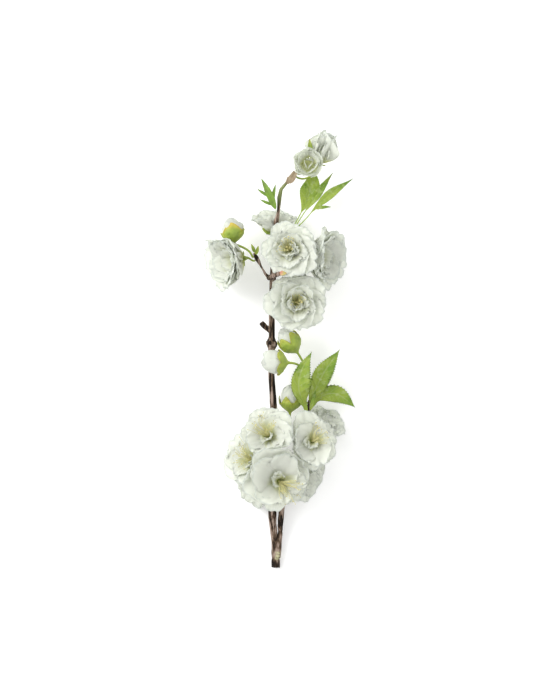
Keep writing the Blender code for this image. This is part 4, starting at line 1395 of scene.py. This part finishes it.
class SPRIG_OT_open_blossoms(bpy.types.Operator):
    """Make the ruffled petals of every open and half-open blossom"""

    bl_idname = "sprig.open_blossoms"
    bl_label = "Blossom petals"

    def execute(self, context):
        settings = settings_of("petals")
        fabric = petal_finish(settings, "petal_fabric", claw_reach=0.42)
        heart_fabric = petal_finish(settings, "heart_petal_fabric", claw_reach=0.85)
        blossoms = all_blossoms()
        for name, (way, _, _, cupped) in DOUBLES.items():
            outer, inner = Shapes(), Shapes()
            lean = None if way is None else unit(way)
            shifts = DRAW_SHIFTS.get(name, (0, 0))
            outer_layers(outer, blossoms[name], draws(settings, name, "outer", shift=shifts[0]), lean)
            inner_layers(inner, blossoms[name], draws(settings, name, "inner", shift=shifts[1]), lean, cupped)
            for layer, shapes, cloth in (("outer", outer, fabric), ("inner", inner, heart_fabric)):
                made = shapes.made(f"petals_{name}_{layer}", cloth)
                finished(made, "petal", f"blossom_{name}_{layer}_petals")
        for name in SINGLES:
            shapes = Shapes()
            rng = draws(settings, name)
            outer_layers(shapes, blossoms[name], rng)
            inner_layers(shapes, blossoms[name], rng)
            finished(shapes.made(f"petals_{name}", fabric), "petal", f"blossom_{name}_petals")
        for name, (hub, share, slopes) in HALF_OPEN.items():
            shapes = Shapes()
            half_open_layers(shapes, blossoms[name], draws(settings, name), hub, share, slopes)
            if name == "near":
                facing = blossoms[name].facing
                shapes.tube(facing.base + np.outer(HEART_HEIGHTS, facing.axis), HEART_RADII, sides=32, kind=1)
            made = shapes.made(f"petals_half_open_{name}", fabric, heart_fabric)
            finished(made, "petal", f"half_open_{name}_petals")
        return {"FINISHED"}


class SPRIG_OT_stamens(bpy.types.Operator):
    """Make a tuft of stamens in each blossom that shows its middle"""

    bl_idname = "sprig.stamens"
    bl_label = "Stamens"

    def execute(self, context):
        settings = settings_of("stamens")
        pale, bead = settings.filament_colour, settings.anther_colour
        filament = moulded_finish("stamen_thread", (pale, pale), scale=300.0, roughness=0.6)
        anther = moulded_finish("anther_bead", (bead, pale), scale=500.0, roughness=0.6)
        tree = stamen_tree(filament, anther)
        for k, (name, (lean, length, count, _)) in enumerate(DOUBLES.items()):
            if lean is None:
                continue
            foot = double_blossom(name).facing
            sizes = {
                "Count": count, "Length": length, "Spread": 0.80, "Curl": 1.1,
                "Thickness": settings.thickness, "Anther": settings.anther, "Seed": 10 * k + 3,
            }
            made = tuft(f"stamens_{name}", tree, Facing(foot.base + TUFT_RISE_MM * foot.axis, lean), sizes)
            finished(made, "stamen", f"blossom_{name}_stamens")
        return {"FINISHED"}


class SPRIG_OT_cups(bpy.types.Operator):
    """Make the cups, sepals and stalks under the blossoms and the buds"""

    bl_idname = "sprig.cups"
    bl_label = "Cups and stalks"

    def execute(self, context):
        cup = cup_finish(settings_of("cups"), "moulded_green", blush=0.25)
        blushed = cup_finish(settings_of("cups"), "blushed_green", blush=0.9)
        flowers = [f"blossom_{name}" for name in (*DOUBLES, *SINGLES)]
        for flower in flowers + [f"half_open_{name}" for name in HALF_OPEN]:
            node = flower + "_calyx"
            made = softened("cup_" + flower, node, cup)
            if flower in LONG_SEPALS:
                shapes = Shapes()
                base = Blossom("cup", flower).facing.base
                for row in LONG_SEPALS[flower]:
                    lobes(shapes, base, [row], np.random.default_rng(len(node)))
                made = joined_into(made, shapes.made("lobes", cup))
            finished(made, "calyx", node)
        for name, (reach, point, _, turn, front) in BUDS.items():
            shapes = Shapes()
            node = f"bud_{name}_calyx"
            bud = Bud(name)
            made = lowered(softened(f"cup_bud_{name}", node, cup), bud, 0.45 * reach)
            bud_sepals(shapes, bud, reach, point, turn, front, np.random.default_rng(len(name)))
            finished(joined_into(made, shapes.made("sepals", cup, blushed)), "calyx", node)
        return {"FINISHED"}


class SPRIG_OT_buds(bpy.types.Operator):
    """Make the closed buds of wrapped petals"""

    bl_idname = "sprig.buds"
    bl_label = "Buds"

    def execute(self, context):
        for name in BUDS:
            shapes = bud_petals(Bud(name), BUDS[name][2], draws(settings_of("petals"), name))
            made = shapes.made(f"bud_petals_{name}", bpy.data.materials["petal_fabric"])
            finished(made, "petal", f"bud_{name}_petals")
        return {"FINISHED"}


class SPRIG_OT_leaves(bpy.types.Operator):
    """Make the toothed leaves and the lobed young leaf"""

    bl_idname = "sprig.leaves"
    bl_label = "Leaves"

    def execute(self, context):
        settings = settings_of("leaves")
        fabric = leaf_finish(settings)
        stalk = moulded_finish("stalk_green", (settings.base_colour, settings.colour), 300.0, roughness=0.5)
        for k, (name, (stem, bare, *form)) in enumerate(LEAVES.items()):
            shapes = Shapes()
            leaf = LeafLine(name, stem)
            rng = np.random.default_rng(k)
            whole_leaf(shapes, leaf, bare, settings.tooth, *form, rng)
            for start, angle, length, half in SIDE_LOBES.get(name, ()):
                beside = start + np.array([-0.01, 0.0, 0.01])
                middle, tangent, _, up, _ = (rows[1] for rows in leaf.at(beside))
                lobe(shapes, middle, turned(tangent, up, angle), length, half, 4.0, 0.10, 14, rng, up)
            lobes(shapes, leaf.rows[0, :3], STALK_BLADES.get(name, ()), rng)
            finished(shapes.made(f"blade_{name}", fabric, stalk), "leaf", f"leaf_{name}")
        shapes = Shapes()
        lobed_leaf(shapes, np.random.default_rng(7))
        young = moulded_finish("young_leaf", (settings.young_colour, settings.colour), 220.0, roughness=0.6)
        finished(shapes.made("blade_upper_lobed", young, stalk), "leaf", "leaf_upper_lobed")
        return {"FINISHED"}


class SPRIG_OT_bark(bpy.types.Operator):
    """Make the furrowed stem, side branch and spur, with their bracts"""

    bl_idname = "sprig.bark"
    bl_label = "Bark"

    def execute(self, context):
        settings = settings_of("bark")
        bark = bark_finish(settings)
        green = bpy.data.materials["moulded_green"]
        colours = (settings.bract_colour, settings.pale_bract_colour)
        papery = moulded_finish("papery_bract", colours, 400.0, roughness=0.7)
        colours = (settings.pink_colour, settings.olive_colour)
        pink = moulded_finish("pink_bract", colours, 260.0, roughness=0.6)
        for node in STEM_NODES:
            extra = STEM_EXTRAS[node]() if node in STEM_EXTRAS else None
            made = barked("bark_" + node, node, bark, settings.voxel, KNOTS.get(node, ()), extra)
            if node in STEM_BRACTS:
                made = joined_into(made, STEM_BRACTS[node]().made("bracts", green, papery, pink))
            finished(made, "bark", node)
        return {"FINISHED"}


LENS_MM = 120.0
SENSOR_MM = 36.0
VIEW_HEIGHT_MM = 635.5  # how much of the sprig's plane the view takes in
AIM_MM = (-1.7, 0.1, 27.0)  # the point that the camera is straight above, in the sprig's plane
FLOOR_HALF = 3.0  # metres
# Each light: where it is and its size, in metres, and its power as a share of the key light's.
LIGHTS = {"key": ((-1.3, 0.7, 1.2), 1.2, 1.0), "fill": ((1.2, -0.3, 1.4), 1.4, 0.10)}


class SPRIG_OT_stage(bpy.types.Operator):
    """Set the pale surface, the soft light and the camera"""

    bl_idname = "sprig.stage"
    bl_label = "Stage"

    def execute(self, context):
        settings = settings_of("stage")
        scene = context.scene
        finish = Finish("pale_surface")
        grain = finish.noise(finish.place(), 240.0, detail=3.0)
        normal = finish.bump(grain, strength=0.05, distance=0.0002)
        glow = {"Emission_Color": rgba(settings.floor_colour), "Emission_Strength": settings.floor_glow}
        mesh = bpy.data.meshes.new("surface")
        corners = [(FLOOR_HALF * x, FLOOR_HALF * y, 0) for x, y in ((-1, -1), (1, -1), (1, 1), (-1, 1))]
        mesh.from_pydata(corners, [], [(0, 1, 2, 3)])
        matt = finish.surface(settings.floor_colour, roughness=0.95, specular=0.0, normal=normal, **glow)
        mesh.materials.append(finish.done(matt))
        floor = linked("surface", mesh)
        floor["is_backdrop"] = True

        world = bpy.data.worlds.new("even_sky")
        world.use_nodes = True
        sky = world.node_tree.nodes["Background"].inputs
        sky["Color"].default_value = rgba((1, 1, 1))
        sky["Strength"].default_value = settings.sky
        scene.world = world
        for name, (place, size, share) in LIGHTS.items():
            light = bpy.data.lights.new(name, "AREA")
            light.size = size
            light.energy = share * settings.key_power
            lamp = linked(name, light)
            lamp.location = place
            lamp.rotation_euler = (-Vector(place)).to_track_quat("-Z", "Y").to_euler()

        camera = bpy.data.cameras.new("overhead")
        camera.lens = LENS_MM
        camera.sensor_fit = "AUTO"
        camera.clip_end = 10.0
        scene.camera = linked("overhead", camera)
        away = VIEW_HEIGHT_MM * LENS_MM / SENSOR_MM
        scene.camera.location = (AIM_MM[0] * MM, AIM_MM[1] * MM, (away + AIM_MM[2]) * MM)
        scene.view_settings.view_transform = "Standard"
        return {"FINISHED"}


# ---------------------------------------------------------------- panel and registration

SETTINGS = {
    "petals": SprigPetalSettings,
    "stamens": SprigStamenSettings,
    "cups": SprigCupSettings,
    "leaves": SprigLeafSettings,
    "bark": SprigBarkSettings,
    "stage": SprigStageSettings,
}
OPERATORS = (
    SPRIG_OT_open_blossoms,
    SPRIG_OT_stamens,
    SPRIG_OT_cups,
    SPRIG_OT_buds,
    SPRIG_OT_leaves,
    SPRIG_OT_bark,
    SPRIG_OT_stage,
)


class SPRIG_PT_panel(bpy.types.Panel):
    """Lists the sprig's pieces and their settings"""

    bl_label = "Cherry blossom sprig"
    bl_idname = "SPRIG_PT_panel"
    bl_space_type = "VIEW_3D"
    bl_region_type = "UI"
    bl_category = "Sprig"

    def draw(self, context):
        for operator in OPERATORS:
            self.layout.operator(operator.bl_idname)
        for name, group in SETTINGS.items():
            box = self.layout.box()
            box.label(text=group.__doc__)
            for key in group.__annotations__:
                box.prop(settings_of(name), key)


CLASSES = (*SETTINGS.values(), *OPERATORS, SPRIG_PT_panel)


def register():
    for cls in CLASSES:
        bpy.utils.register_class(cls)
    for name, group in SETTINGS.items():
        setattr(bpy.types.Scene, "sprig_" + name, PointerProperty(type=group))


def unregister():
    for name in SETTINGS:
        delattr(bpy.types.Scene, "sprig_" + name)
    for cls in reversed(CLASSES):
        bpy.utils.unregister_class(cls)


def main():
    register()
    bpy.ops.sprig.open_blossoms()
    bpy.ops.sprig.stamens()
    bpy.ops.sprig.cups()
    bpy.ops.sprig.buds()
    bpy.ops.sprig.leaves()
    bpy.ops.sprig.bark()
    bpy.ops.sprig.stage()
    boxes = {"cad": CAD_BOX, "visual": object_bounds()}
    boxes = {name: [list(map(float, corner)) for corner in box] for name, box in boxes.items()}


if __name__ == "__main__":
    main()
